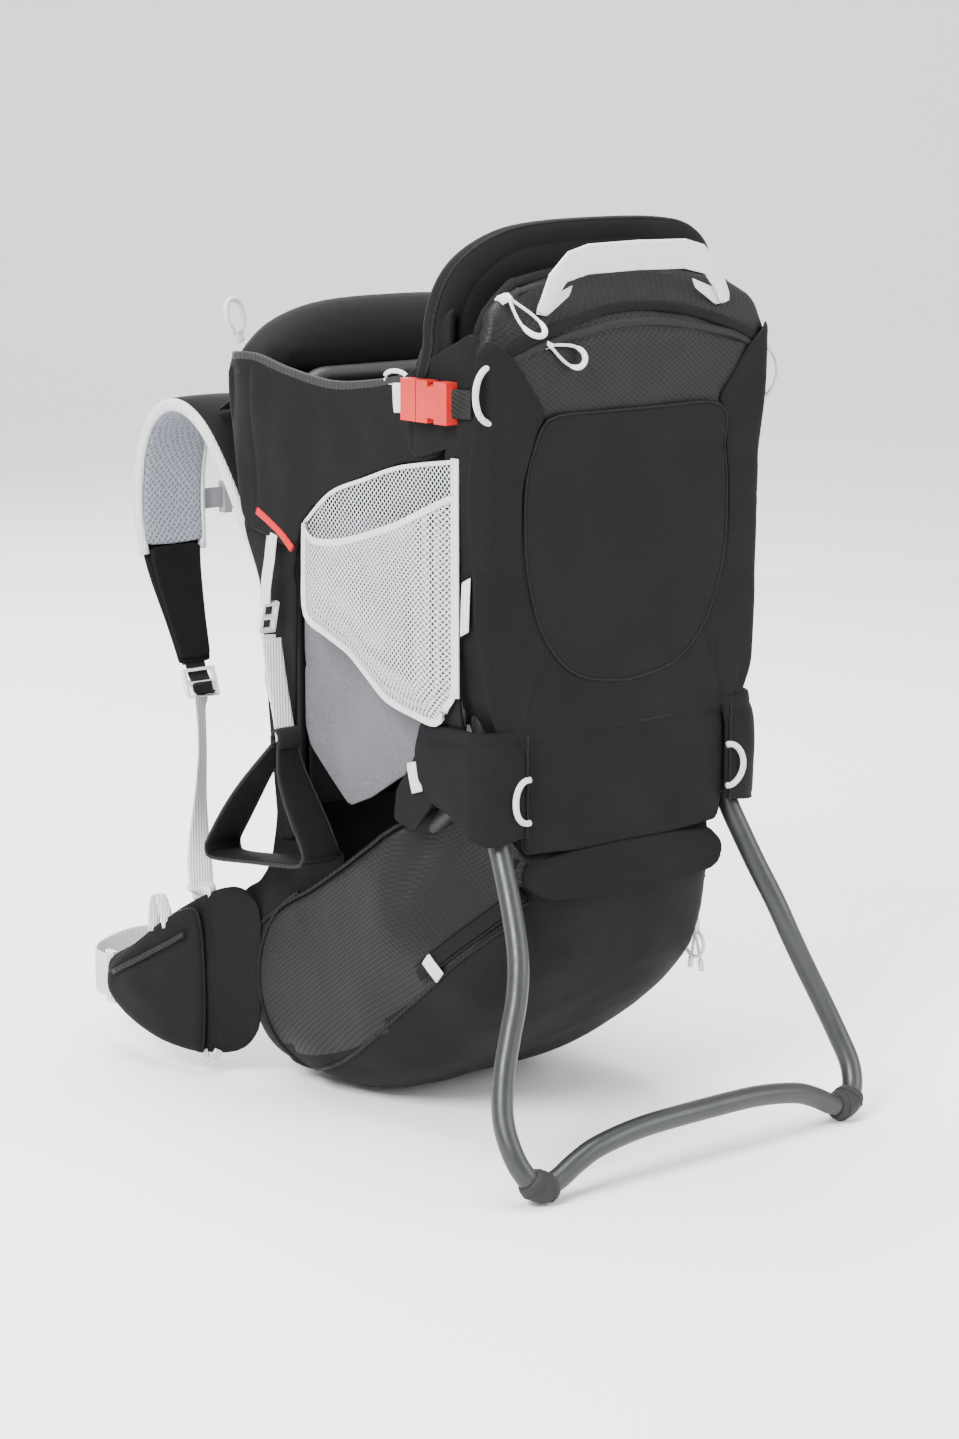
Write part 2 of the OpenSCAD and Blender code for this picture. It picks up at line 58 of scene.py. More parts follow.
# ---- materials ----
class Shader:
    """A Principled material with a node tree that is easy to add to."""

    def __init__(self, name, roughness=0.6, metallic=0.0, sheen=0.0, coat=0.0, ior=1.5):
        self.material = bpy.data.materials.new(name)
        self.material.use_nodes = True
        self.tree = self.material.node_tree
        self.main = self.tree.nodes["Principled BSDF"]
        self.main.inputs["Roughness"].default_value = roughness
        self.main.inputs["Metallic"].default_value = metallic
        self.main.inputs["Sheen Weight"].default_value = sheen
        self.main.inputs["Coat Weight"].default_value = coat
        self.main.inputs["IOR"].default_value = ior
        self.place = self.node("ShaderNodeTexCoord").outputs["Object"]

    def node(self, kind, **values):
        made = self.tree.nodes.new(kind)
        for key, value in values.items():
            setattr(made, key, value)
        return made

    def link(self, a, b):
        self.tree.links.new(a, b)

    def mapped(self, scale=(1, 1, 1), turn=(0, 0, 0), source=None):
        """Object coordinates, or another source, turned by degrees and scaled."""
        made = self.node("ShaderNodeMapping")
        made.inputs["Scale"].default_value = scale
        made.inputs["Rotation"].default_value = [math.radians(a) for a in turn]
        self.link(source or self.place, made.inputs["Vector"])
        return made.outputs["Vector"]

    def draped(self, share=1.0):
        """Flat coordinates that lie over upright cloth: Y plus a share of X across it, Z up it."""
        parts = self.node("ShaderNodeSeparateXYZ")
        across = self.node("ShaderNodeMath", operation="MULTIPLY_ADD")
        flat = self.node("ShaderNodeCombineXYZ")
        self.link(self.place, parts.inputs[0])
        self.link(parts.outputs[0], across.inputs[0])
        across.inputs[1].default_value = share
        self.link(parts.outputs[1], across.inputs[2])
        self.link(across.outputs[0], flat.inputs[0])
        self.link(parts.outputs[2], flat.inputs[1])
        return flat.outputs[0]

    def noise(self, size_mm, detail=3.0, stretch=(1, 1, 1)):
        made = self.node("ShaderNodeTexNoise")
        made.inputs["Scale"].default_value = 1.0
        made.inputs["Detail"].default_value = detail
        self.link(self.mapped([1000.0 / size_mm * s for s in stretch]), made.inputs["Vector"])
        return made.outputs["Fac"]

    def cells(self, size_mm, turn=45, randomness=0.0, squash=1.0, share=1.0):
        """Distance from the middle of small woven cells."""
        made = self.node("ShaderNodeTexVoronoi", voronoi_dimensions="2D")
        made.inputs["Scale"].default_value = 1.0
        made.inputs["Randomness"].default_value = randomness
        stretched = self.mapped([1.0, squash, 1.0], (0, 0, 0), self.draped(share))
        self.link(self.mapped([1000.0 / size_mm] * 3, (0, 0, turn), stretched), made.inputs["Vector"])
        return made.outputs["Distance"]

    def ribs(self, size_mm, turn=(0, 0, 0)):
        made = self.node("ShaderNodeTexWave")
        made.inputs["Scale"].default_value = 0.314
        self.link(self.mapped([1000.0 / size_mm] * 3, turn), made.inputs["Vector"])
        return made.outputs["Fac"]

    def ramp(self, fac, low, high, a=0.0, b=1.0):
        """fac stretched from low..high to a..b."""
        made = self.node("ShaderNodeMapRange")
        made.inputs["From Min"].default_value = low
        made.inputs["From Max"].default_value = high
        made.inputs["To Min"].default_value = a
        made.inputs["To Max"].default_value = b
        self.link(fac, made.inputs["Value"])
        return made.outputs["Result"]

    def mix(self, fac, a, b):
        """A colour between a and b, each a colour or a socket."""
        made = self.node("ShaderNodeMix", data_type="RGBA")
        self.link(fac, made.inputs[0])
        for socket, value in ((made.inputs[6], a), (made.inputs[7], b)):
            if isinstance(value, tuple):
                socket.default_value = (*value, 1.0)
            else:
                self.link(value, socket)
        return made.outputs[2]

    def colour(self, socket):
        self.link(socket, self.main.inputs["Base Color"])

    def rough(self, socket):
        self.link(socket, self.main.inputs["Roughness"])

    def bump(self, *layers):
        """Each layer is (height socket, depth in mm)."""
        normal = None
        for height, depth in layers:
            made = self.node("ShaderNodeBump")
            made.inputs["Strength"].default_value = 1.0
            made.inputs["Distance"].default_value = depth * MM
            self.link(height, made.inputs["Height"])
            if normal is not None:
                self.link(normal, made.inputs["Normal"])
            normal = made.outputs["Normal"]
        self.link(normal, self.main.inputs["Normal"])


def shade(colour, factor):
    return tuple(min(1.0, c * factor) for c in colour)


def fabric(name, colour, weave_mm=1.2, roughness=0.78, sheen=0.012, depth=0.12, fold=1.1):
    """Plain woven cloth: fine threads, faint wear and shallow creases."""
    s = Shader(name, roughness, sheen=sheen)
    s.main.inputs["Sheen Roughness"].default_value = 0.4
    s.main.inputs["Specular IOR Level"].default_value = 0.12
    threads = s.noise(weave_mm, 2.0)
    patches = s.noise(60, 4.0)
    tone = s.mix(s.ramp(patches, 0.3, 0.7), shade(colour, 0.82), shade(colour, 1.25))
    s.colour(s.mix(s.ramp(threads, 0.35, 0.65), tone, shade(colour, 1.6)))
    s.rough(s.ramp(patches, 0.3, 0.7, roughness - 0.08, roughness + 0.08))
    s.bump((s.noise(34, 3.0), fold), (threads, depth))
    return s.material


def ripstop(name, colour, cell_mm=4.6):
    """Coated cloth with small raised diamonds."""
    s = Shader(name, 0.55, sheen=0.012)
    s.main.inputs["Specular IOR Level"].default_value = 0.2
    cell = s.cells(cell_mm, squash=1.5)
    patches = s.noise(70, 3.0)
    tone = s.mix(s.ramp(patches, 0.3, 0.7), shade(colour, 0.8), shade(colour, 1.3))
    s.colour(s.mix(s.ramp(cell, 0.2, 0.5), shade(colour, 1.8), tone))
    s.rough(s.ramp(cell, 0.2, 0.55, 0.48, 0.66))
    s.bump((s.noise(40, 3.0), 0.6), (s.ramp(cell, 0.2, 0.5, 1.0, 0.0), 0.14), (s.noise(0.9, 1.0), 0.05))
    return s.material


def honeycomb(name, colour, cell_mm=4.2):
    """Spacer mesh: soft cells with darker middles."""
    s = Shader(name, 0.8, sheen=0.1)
    cell = s.cells(cell_mm, 45, 0.25)
    hole = s.ramp(cell, 0.12, 0.42)
    s.colour(s.mix(hole, shade(colour, 0.62), shade(colour, 1.12)))
    s.bump((hole, 0.7), (s.noise(0.8, 2.0), 0.12))
    return s.material


def webbing(name, colour, rib_mm=2.3, turn=(0, 0, 35)):
    """Flat woven tape with fine ribs."""
    s = Shader(name, 0.62, sheen=0.02)
    s.main.inputs["Specular IOR Level"].default_value = 0.2
    rib = s.ribs(rib_mm, turn)
    fuzz = s.noise(0.9, 2.0)
    tone = s.mix(s.ramp(rib, 0.2, 0.8), shade(colour, 0.78), shade(colour, 1.08))
    s.colour(s.mix(s.ramp(fuzz, 0.35, 0.7), tone, shade(colour, 0.9)))
    s.bump((rib, 0.35), (fuzz, 0.1))
    return s.material


def open_mesh(name, colour, hole_mm=3.5):
    """Knitted mesh: threads with real gaps between them."""
    s = Shader(name, 0.7, sheen=0.1)
    cell = s.cells(hole_mm, 45, share=0.0)
    s.colour(s.mix(s.ramp(s.noise(1.0, 2.0), 0.3, 0.7), shade(colour, 0.85), shade(colour, 1.1)))
    s.bump((cell, 0.4))
    s.link(s.ramp(cell, 0.37, 0.43), s.main.inputs["Alpha"])
    return s.material


def plastic(name, colour, roughness=0.42, coat=0.0):
    """Moulded plastic with a faint grain and rubbed, lighter high spots."""
    s = Shader(name, roughness, coat=coat)
    grain = s.noise(1.1, 3.0)
    wear = s.noise(22, 4.0)
    s.colour(s.mix(s.ramp(wear, 0.35, 0.75), colour, shade(colour, 1.15)))
    s.rough(s.ramp(wear, 0.3, 0.7, roughness - 0.07, roughness + 0.1))
    s.bump((grain, 0.06))
    return s.material


def metal(name, colour, roughness=0.35, metallic=0.9, brushed=(1, 1, 1)):
    s = Shader(name, roughness, metallic)
    streak = s.noise(3.0, 4.0, brushed)
    patches = s.noise(45, 3.0)
    s.colour(s.mix(s.ramp(patches, 0.3, 0.7), shade(colour, 0.9), shade(colour, 1.1)))
    s.rough(s.ramp(streak, 0.3, 0.7, roughness - 0.06, roughness + 0.08))
    s.bump((streak, 0.03))
    return s.material


BLACK = (0.0034, 0.0036, 0.0040)
MATERIALS = {
    "black_fabric": fabric("black_fabric", BLACK),
    "black_ripstop": ripstop("black_ripstop", shade(BLACK, 0.85)),
    "stretch_fabric": fabric("stretch_fabric", (0.0042, 0.0046, 0.0052), 0.8, 0.85, 0.01, 0.05, 0.15),
    "charcoal_fabric": fabric("charcoal_fabric", (0.0078, 0.0079, 0.0085), 1.0, 0.85, 0.02, 0.08, 0.6),
    # seam: a near-black tape whose darkness is painted shade, standing in for the shadow along each seam line
    "seam": webbing("seam", (0.0011, 0.0011, 0.0013), 1.3, (20, 0, 10)),
    "binding": webbing("binding", (0.019, 0.0195, 0.021), 1.6, (0, 0, 20)),
    "thread": webbing("thread", (0.0085, 0.0088, 0.0095), 1.2, (20, 0, 10)),
    "grey_fabric": fabric("grey_fabric", (0.080, 0.078, 0.086), 0.9, 0.85, 0.03, 0.08, 1.0),
    "spacer_mesh": honeycomb("spacer_mesh", (0.22, 0.24, 0.28)),
    "dark_spacer": honeycomb("dark_spacer", (0.012, 0.0125, 0.0135), 6.0),
    "pocket_mesh": open_mesh("pocket_mesh", (0.50, 0.51, 0.53)),
    "pale_webbing": webbing("pale_webbing", (0.60, 0.60, 0.61)),
    "handle_webbing": webbing("handle_webbing", (0.64, 0.64, 0.65), 1.8, (0, 50, 0)),
    "black_webbing": webbing("black_webbing", (0.0050, 0.0052, 0.0057), 2.0, (0, 35, 0)),
    "red_piping": webbing("red_piping", (0.52, 0.006, 0.010), 1.3, (30, 0, 30)),
    "pale_plastic": plastic("pale_plastic", (0.60, 0.60, 0.61)),
    "grey_plastic": plastic("grey_plastic", (0.20, 0.205, 0.22)),
    "coral_plastic": plastic("coral_plastic", (0.44, 0.013, 0.010), 0.33, 0.2),
    "dark_plastic": plastic("dark_plastic", (0.010, 0.0105, 0.0115), 0.55),
    "rubber": plastic("rubber", (0.0075, 0.0075, 0.0075), 0.75),
    "stand_metal": metal("stand_metal", (0.031, 0.034, 0.033), 0.36, 0.45, (1, 1, 0.1)),
    "frame_metal": metal("frame_metal", (0.012, 0.0125, 0.0135), 0.5, 0.2, (1, 1, 0.1)),
    "bolt_steel": metal("bolt_steel", (0.40, 0.41, 0.43), 0.3, 1.0),
}


# ---- curves and outlines ----
def spline(points, steps=6, closed=False):
    """A smooth curve through points (Catmull-Rom), as an array."""
    p = np.array(points, float)
    n = len(p)
    spans = n if closed else n - 1
    out = []
    for i in range(spans):
        if closed:
            a, b, c, d = p[i - 1], p[i], p[(i + 1) % n], p[(i + 2) % n]
        else:
            a, b, c, d = p[max(i - 1, 0)], p[i], p[i + 1], p[min(i + 2, n - 1)]
        for k in range(steps):
            t = k / steps
            out.append(0.5 * ((2 * b) + (c - a) * t + (2 * a - 5 * b + 4 * c - d) * t * t
                              + (3 * b - a - 3 * c + d) * t ** 3))
    if not closed:
        out.append(p[-1])
    return np.array(out)


def resample(path, step, closed=False):
    """Points about step apart along a polyline; its corners are kept where it is closed."""
    p = np.array(path, float)
    if closed:
        out = []
        for a, b in zip(p, np.roll(p, -1, 0)):
            count = max(1, int(round(np.linalg.norm(b - a) / step)))
            out += [a + (b - a) * k / count for k in range(count)]
        return np.array(out)
    gaps = np.r_[0, np.cumsum(np.linalg.norm(np.diff(p, axis=0), axis=1))]
    at = np.linspace(0, gaps[-1], max(2, int(round(gaps[-1] / step)) + 1))
    return np.stack([np.interp(at, gaps, p[:, k]) for k in range(p.shape[1])], 1)


def mirrored(half):
    """A closed outline from its half at X >= 0, given from the bottom middle round to the top middle."""
    return list(half) + [(-x, z) for x, z in reversed(half) if x > 0]


def distance(points, line, closed):
    """How far each point is from a polyline."""
    a = np.array(line, float)
    b = np.roll(a, -1, 0) if closed else a[1:]
    a = a if closed else a[:-1]
    best = np.full(len(points), 1e9)
    for s, e in zip(a, b):
        d = e - s
        t = np.clip(((points - s) @ d) / max(d @ d, 1e-9), 0, 1)
        best = np.minimum(best, np.linalg.norm(points - s - t[:, None] * d, axis=1))
    return best


def inside(points, outline):
    hit = np.zeros(len(points), bool)
    x, y = points[:, 0], points[:, 1]
    for (x0, y0), (x1, y1) in zip(outline, np.roll(outline, -1, 0)):
        if y0 == y1:
            continue
        crosses = (y0 > y) != (y1 > y)
        hit ^= crosses & (x < (x1 - x0) * (y - y0) / (y1 - y0) + x0)
    return hit


# ---- meshes ----
def mesh_object(name, points, faces, material, body="pack", level=0):
    """A mesh object from points in millimetres. It rides on a body, unless body is None."""
    mesh = bpy.data.meshes.new(name)
    mesh.from_pydata([tuple(p) for p in np.array(points, float) * MM], [], faces)
    mesh.validate()
    mesh.update()
    mesh.shade_smooth()
    mesh.materials.append(MATERIALS[material])
    made = bpy.data.objects.new(name, mesh)
    bpy.context.scene.collection.objects.link(made)
    if level:
        smooth = made.modifiers.new("smooth", "SUBSURF")
        smooth.levels = smooth.render_levels = level
    if body:
        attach(made, body)
    return made


def fill(outline, spacing, rings, seams):
    """Triangles over an outline, with vertices along its inner rings and its seams."""
    edge = resample(outline, spacing, True)
    area = 0.5 * np.sum(edge[:, 0] * np.roll(edge[:, 1], -1) - np.roll(edge[:, 0], -1) * edge[:, 1])
    if area < 0:
        edge = edge[::-1]
    along = np.roll(edge, -1, 0) - np.roll(edge, 1, 0)
    along /= np.linalg.norm(along, axis=1)[:, None] + 1e-9
    inward = np.stack([-along[:, 1], along[:, 0]], 1)
    extra = []
    for offset in rings:
        ring = edge + inward * offset
        extra.append(ring[(distance(ring, edge, True) > 0.93 * offset) & inside(ring, edge)])
    for seam in seams:
        line = resample(seam, spacing * 0.8)
        run = np.gradient(line, axis=0)
        run /= np.linalg.norm(run, axis=1)[:, None] + 1e-9
        across = np.stack([-run[:, 1], run[:, 0]], 1)
        for shift in (0, -2.2, 2.2):
            row = line + across * shift
            extra.append(row[(distance(row, edge, True) > 1.2) & inside(row, edge)])
    low, high = edge.min(0), edge.max(0)
    xs = np.arange(low[0], high[0], spacing)
    ys = np.arange(low[1], high[1], spacing * 0.87)
    grid = np.array([(x + (j % 2) * spacing / 2, y) for j, y in enumerate(ys) for x in xs])
    clear = distance(grid, edge, True) > (max(rings) if rings else 0) + 0.55 * spacing
    for seam in seams:
        clear &= distance(grid, seam, False) > 2.2 + 0.4 * spacing
    extra.append(grid[clear & inside(grid, edge)])
    points = np.concatenate([edge] + extra)
    found = geometry.delaunay_2d_cdt([Vector(p) for p in points], [], [list(range(len(edge)))], 1, 1e-4)
    return np.array([tuple(v) for v in found[0]]), [tuple(f) for f in found[2]], edge


def pad(name, outline, place, material, body="pack", half=3.0, crown=0.0, back_crown=0.0, edge=None,
        power=2.4, spacing=5.0, seams=(), groove=1.0, wrinkle=0.0, wrinkle_mm=45.0, level=0,
        swell=35.0):
    """A sewn pad: two crowned faces that meet at a rounded edge. place(u, v, depth) gives its
    points. Seams are grooves in its outer face."""
    edge = edge or half * 1.2
    rings = [edge * f for f in (0.12, 0.42, 1.0)]
    flat, triangles, border = fill(outline, spacing, rings, seams)
    d = distance(flat, border, True)
    on_edge = d < 0.02
    rise = half * (1 - (1 - np.clip(d / edge, 0, 1)) ** power) ** (1 / power)
    dome = 1 - np.exp(-((d / swell) ** 1.3))
    front = rise + crown * dome
    back = -rise - back_crown * dome
    for seam in seams:
        front -= groove * np.exp(-((distance(flat, seam, False) / 2.0) ** 2))
    if wrinkle:
        mask = np.clip(d / 18, 0, 1)
        front += wrinkle * mask * np.array([noise.noise(Vector((u, v, 7.3)) / wrinkle_mm) for u, v in flat])
    n = len(flat)
    back_index = np.where(on_edge, np.arange(n), np.arange(n) + n)
    points = [place(u, v, f) for (u, v), f in zip(flat, front)]
    points += [place(u, v, b) for (u, v), b in zip(flat, back)]
    faces = list(triangles) + [tuple(int(back_index[i]) for i in reversed(t)) for t in triangles]
    used = sorted({i for f in faces for i in f})
    index = {old: new for new, old in enumerate(used)}
    points = np.array(points)[used]
    faces = [tuple(index[i] for i in f) for f in faces]
    made = mesh_object(name, points, faces, material, body, level)
    fix_normals(made)
    return made


def fix_normals(made):
    """Turns every face of a closed mesh outwards."""
    work = bmesh.new()
    work.from_mesh(made.data)
    bmesh.ops.recalc_face_normals(work, faces=work.faces)
    work.to_mesh(made.data)
    work.free()


def sweep(name, path, section, material, body="pack", up=None, closed=False, taper=None,
          level=0):
    """A solid along a path. section is points (across, out) in millimetres; up is the direction
    of across, or None to keep the section from twisting. taper(t) scales it at 0..1."""
    p = np.array(path, float)
    n = len(p)
    if closed:
        tangent = np.roll(p, -1, 0) - np.roll(p, 1, 0)
    else:
        tangent = np.gradient(p, axis=0)
    tangent /= np.linalg.norm(tangent, axis=1)[:, None]
    side = np.zeros_like(p)
    if up is None:
        start = np.array([0.3, 0.2, 1.0]) if abs(tangent[0][2]) < 0.9 else np.array([1.0, 0.1, 0.2])
        last = start
    for i in range(n):
        want = last if up is None else np.array(up(i / (n - 1)) if callable(up) else up, float)
        across = want - (want @ tangent[i]) * tangent[i]
        across /= np.linalg.norm(across)
        side[i] = across
        last = across
    out = np.cross(tangent, side)
    points = []
    for i in range(n):
        scale = taper(i / (n - 1)) if taper else 1.0
        points += [p[i] + scale * (a * side[i] + b * out[i]) for a, b in section]
    m = len(section)
    spans = n if closed else n - 1
    faces = [(i * m + j, i * m + (j + 1) % m, ((i + 1) % n) * m + (j + 1) % m, ((i + 1) % n) * m + j)
             for i in range(spans) for j in range(m)]
    if not closed:
        faces += [tuple(range(m))[::-1], tuple((n - 1) * m + j for j in range(m))]
    made = mesh_object(name, points, faces, material, body, level)
    fix_normals(made)
    return made


def circle(r, sides=12, squash=1.0):
    return [(r * math.cos(2 * math.pi * k / sides), squash * r * math.sin(2 * math.pi * k / sides))
            for k in range(sides)]


def tape(w, t, crown=0.0, off=0.0, steps=8):
    """A flat section w wide and t thick with rounded edges, crowned on its outer side."""
    top = [(w / 2 * math.cos(a), off + (t / 2) * abs(math.sin(a)) ** 0.35 + crown * math.sin(a) ** 2)
           for a in np.linspace(0, math.pi, steps + 1)]
    low = [(w / 2 * math.cos(a), off - (t / 2) * abs(math.sin(a)) ** 0.35)
           for a in np.linspace(math.pi, 2 * math.pi, steps + 1)[1:-1]]
    return top + low


# Piping defaults to the seam material, so its dark lines are painted seam shadow
def piping(name, path, r, material="seam", body="pack", closed=False):
    return sweep(name, resample(path, 5.0, False) if not closed else path, circle(r, 8), material, body,
                 closed=closed)


def side_of(s, points):
    """Points given for the right side, or their mirror image for the left."""
    return [(s * p[0], p[1], p[2]) for p in points]


def puff(made, pinned, pressure=4.0, cap=5.0):
    """Cloth with pressure inside: the pad swells and creases. pinned(x, y, z) says what is sewn
    down; no point moves further than cap."""
    mesh = made.data
    rest = np.array([v.co for v in mesh.vertices])
    group = made.vertex_groups.new(name="sewn")
    held = [i for i, p in enumerate(rest / MM) if pinned(*p)]
    group.add(held, 1.0, "REPLACE")
    cloth = made.modifiers.new("cloth", "CLOTH")
    cloth.settings.quality = 6
    cloth.settings.mass = 0.25
    cloth.settings.tension_stiffness = 25
    cloth.settings.compression_stiffness = 25
    cloth.settings.shear_stiffness = 10
    cloth.settings.bending_stiffness = 0.6
    cloth.settings.vertex_group_mass = "sewn"
    cloth.settings.use_pressure = True
    cloth.settings.uniform_pressure_force = pressure
    cloth.settings.effector_weights.gravity = 0
    cloth.point_cache.frame_start = 1
    cloth.point_cache.frame_end = 20
    made.modifiers.move(len(made.modifiers) - 1, 0)
    shown = [(m, m.show_viewport) for m in made.modifiers if m.type == "SUBSURF"]
    for m, _ in shown:
        m.show_viewport = False
    scene = bpy.context.scene
    for f in range(1, 21):
        scene.frame_set(f)
    got = made.evaluated_get(bpy.context.evaluated_depsgraph_get())
    new = np.array([v.co for v in got.data.vertices])
    made.modifiers.remove(cloth)
    made.vertex_groups.remove(group)
    for m, was in shown:
        m.show_viewport = was
    scene.frame_set(1)
    if new.shape != rest.shape or not np.isfinite(new).all():
        return
    move = new - rest
    size = np.linalg.norm(move, axis=1)[:, None] + 1e-9
    move *= np.minimum(1.0, cap * MM / size)
    mesh.vertices.foreach_set("co", (rest + move).astype(np.float32).ravel())
    mesh.update()


def smoothstep(a, b, x):
    t = min(1.0, max(0.0, (x - a) / (b - a)))
    return t * t * (3 - 2 * t)


def face_place(y, sign=-1):
    """A panel in a plane of constant Y: u is X, v is Z, depth runs along sign times Y."""
    return lambda u, v, d: (u, y + sign * d, v)


def side_place(x, s):
    """A panel in a plane of constant X on side s: u is Y, v is Z, depth runs outwards."""
    return lambda u, v, d: (s * (x + d), u, v)


# ---- camera, light and floor ----
def stage():
    turn, pitch = math.radians(-40.0), math.radians(11.2)
    back = Vector((math.sin(turn) * math.cos(pitch), -math.cos(turn) * math.cos(pitch), math.sin(pitch)))
    camera = bpy.data.objects.new("camera", bpy.data.cameras.new("camera"))
    camera.data.sensor_width = 36.0
    camera.data.lens = 87.9
    camera.location = (-1.832, -2.226, 0.878)
    camera.rotation_euler = back.to_track_quat("Z", "Y").to_euler()
    bpy.context.scene.collection.objects.link(camera)
    bpy.context.scene.camera = camera
    world = bpy.data.worlds.new("studio")
    world.use_nodes = True
    world.node_tree.nodes["Background"].inputs["Color"].default_value = (1.0, 1.0, 1.0, 1.0)
    world.node_tree.nodes["Background"].inputs["Strength"].default_value = 1.15
    bpy.context.scene.world = world
    lights = (("key", (-2.6, -1.0, 2.4), 1.3, 250), ("fill", (1.8, -2.6, 1.7), 2.2, 90),
              ("top", (0.0, 0.2, 3.0), 1.6, 130), ("back", (0.6, 2.6, 1.9), 2.0, 90))
    for name, place, size, power in lights:
        lamp = bpy.data.objects.new(name, bpy.data.lights.new(name, "AREA"))
        lamp.data.size = size
        lamp.data.energy = power
        lamp.location = place
        lamp.rotation_euler = (Vector((0, 0, 0.35)) - Vector(place)).to_track_quat("-Z", "Y").to_euler()
        bpy.context.scene.collection.objects.link(lamp)
    rows = [(-9000.0, 0.0), (1500.0, 0.0), (3000.0, 0.0), (4600.0, 260.0), (5700.0, 1200.0), (6300.0, 2900.0),
            (6500.0, 6500.0)]
    direction = -back
    flat = Vector((direction.x, direction.y, 0)).normalized()
    across = Vector((flat.y, -flat.x, 0))
    line = spline(rows, 6)
    points = [tuple(flat * far + across * wide + Vector((0, 0, up))) for far, up in line
              for wide in (-9000.0, 0.0, 9000.0)]
    faces = [(3 * i + j, 3 * i + j + 1, 3 * i + j + 4, 3 * i + j + 3)
             for i in range(len(line) - 1) for j in range(2)]
    paper = Shader("studio_floor", 0.9)
    speck = paper.noise(400, 2.0)
    paper.colour(paper.mix(speck, (0.93, 0.93, 0.93), (0.95, 0.95, 0.95)))
    MATERIALS["studio_floor"] = paper.material
    floor = mesh_object("floor", points, faces, "studio_floor", body=None)


# ---- kickstand ----
PIVOT = np.array([122.0, -191.0, 291.0])
STAND_DOWN = np.array([0.0, -0.5, -0.8660254])
STAND_ROUTE = [(124, -217, 245), (130, -236, 210), (138, -253, 177), (147, -262, 149), (159, -268, 121),
               (171, -275, 93), (180, -285, 65), (182, -298, 42), (176, -307, 24), (163, -310, 14),
               (148, -311, 17), (128, -311, 27), (105, -311, 35), (60, -311, 41), (0, -311, 42)]


def kickstand():
    top = [tuple(PIVOT + STAND_DOWN * s) for s in (13.2, 22, 34)]
    half = np.concatenate([np.array(top), spline(STAND_ROUTE, 5)])
    path = np.concatenate([half, half[-2::-1] * (-1, 1, 1)])
    bar = sweep("stand_tube", path, circle(8.5, 28), "stand_metal", "kickstand")
    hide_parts("kickstand_tube")
    for s, side in BOTH:
        part = spline(STAND_ROUTE[7:12], 6)[7:17]
        shape = lambda t: 1.0 - 0.16 * abs(2 * t - 1) ** 6
        boot = sweep(f"foot_{side}", side_of(s, part), circle(12.3, 24), "rubber", "kickstand", taper=shape)
        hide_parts("kickstand_feet")
        for k in (2, 7):
            ring = part[k]
            t = part[k + 1] - part[k - 1]
            t = t / np.linalg.norm(t)
            a = np.cross(t, (0, 1, 0))
            a /= np.linalg.norm(a)
            b = np.cross(t, a)
            loop = [tuple(ring + 12.2 * (math.cos(w) * a + math.sin(w) * b))
                    for w in np.linspace(0, 2 * math.pi, 25)[:-1]]
            sweep(f"foot_rib_{side}_{k}", side_of(s, loop), circle(0.8, 6), "rubber", "kickstand",
                  closed=True)


# ---- storage bag ----
# Sections of the storage bag run from its inner line to its outer line (Y, Z)
BAG_INNER = [(-206, 252), (-172, 288), (-152, 296), (-138, 288), (-122, 275), (-102, 256), (-78, 238),
             (-50, 219), (-20, 199), (10, 181), (40, 165), (66, 148), (88, 132), (103, 116), (110, 104),
             (113, 96)]
BAG_OUTER = [(-213, 246), (-230, 226), (-235, 211), (-221, 178), (-201, 135), (-168, 94), (-128, 62),
             (-78, 29), (-36, 9), (4, 0.8), (46, 1.5), (80, 5), (103, 15), (115, 36), (118, 60), (116, 82)]
BAG_FLOOR_Y = [-180, -100, -34, 34, 60, 120]
BAG_FLOOR_Z = [232, 228, 200, 164, 146, 88]


SLIDER_PATH = (-205.0, 172.0)            # Y and Z of the middle of the bag slider's travel
SLIDER_ROOM = 102.8      # the bag's right side stays inside this X beside it


def bag_half_width(y, z):
    """Half width of the storage bag: narrow inside the kickstand's swing, wide in front of it."""
    from_pivot = math.hypot(y - PIVOT[1], z - PIVOT[2])
    flare = max(smoothstep(58, 165, from_pivot), smoothstep(-132, -84, y))
    return 104 + 33 * flare - 14 * smoothstep(70, 120, y)


def bag_rows():
    rows = []
    for (yi, zi), (yo, zo) in zip(spline(BAG_INNER, 4), spline(BAG_OUTER, 4)):
        dense = []
        for a in np.linspace(0, math.pi, 241):
            across = math.copysign(abs(math.cos(a)) ** 0.42, math.cos(a))
            out = math.sin(a) ** 0.42 if math.sin(a) > 1e-6 else 0.0
            y, z = yi + (yo - yi) * out, zi + (zo - zi) * out
            swell = 4.0 * math.sin(math.pi * min(1.0, out * 1.02)) * smoothstep(-132, -60, y)
            dense.append((-across * (bag_half_width(y, z) + swell), y, z))
        row = resample(dense, 1.0)
        row = row[np.linspace(0, len(row) - 1, 57).round().astype(int)]
        wrinkled = []
        for x, y, z in row:
            n = noise.noise(Vector((x, y, z)) / 46.0) * 1.6 + noise.noise(Vector((x, y + 99, z)) / 21.0) * 0.6
            out = Vector((x, y + 40, z - 190)).normalized() * n
            away = math.hypot(y - SLIDER_PATH[0], z - SLIDER_PATH[1])
            room = SLIDER_ROOM + 45 * smoothstep(26, 62, away)
            wrinkled.append((min(x + out.x, room), y + out.y, max(0.6, z + out.z)))
        width = abs(row[-1][0])
        floor_z = min(zi, float(np.interp(yi, BAG_FLOOR_Y, BAG_FLOOR_Z)))
        lid = [(width * k, yi, zi + (floor_z - zi) * smoothstep(0.0, 0.16, 1 - abs(k)) - 1)
               for k in np.linspace(0.94, -0.94, 11)]
        rows.append(wrinkled + lid)
    return rows


BAG = bag_rows()


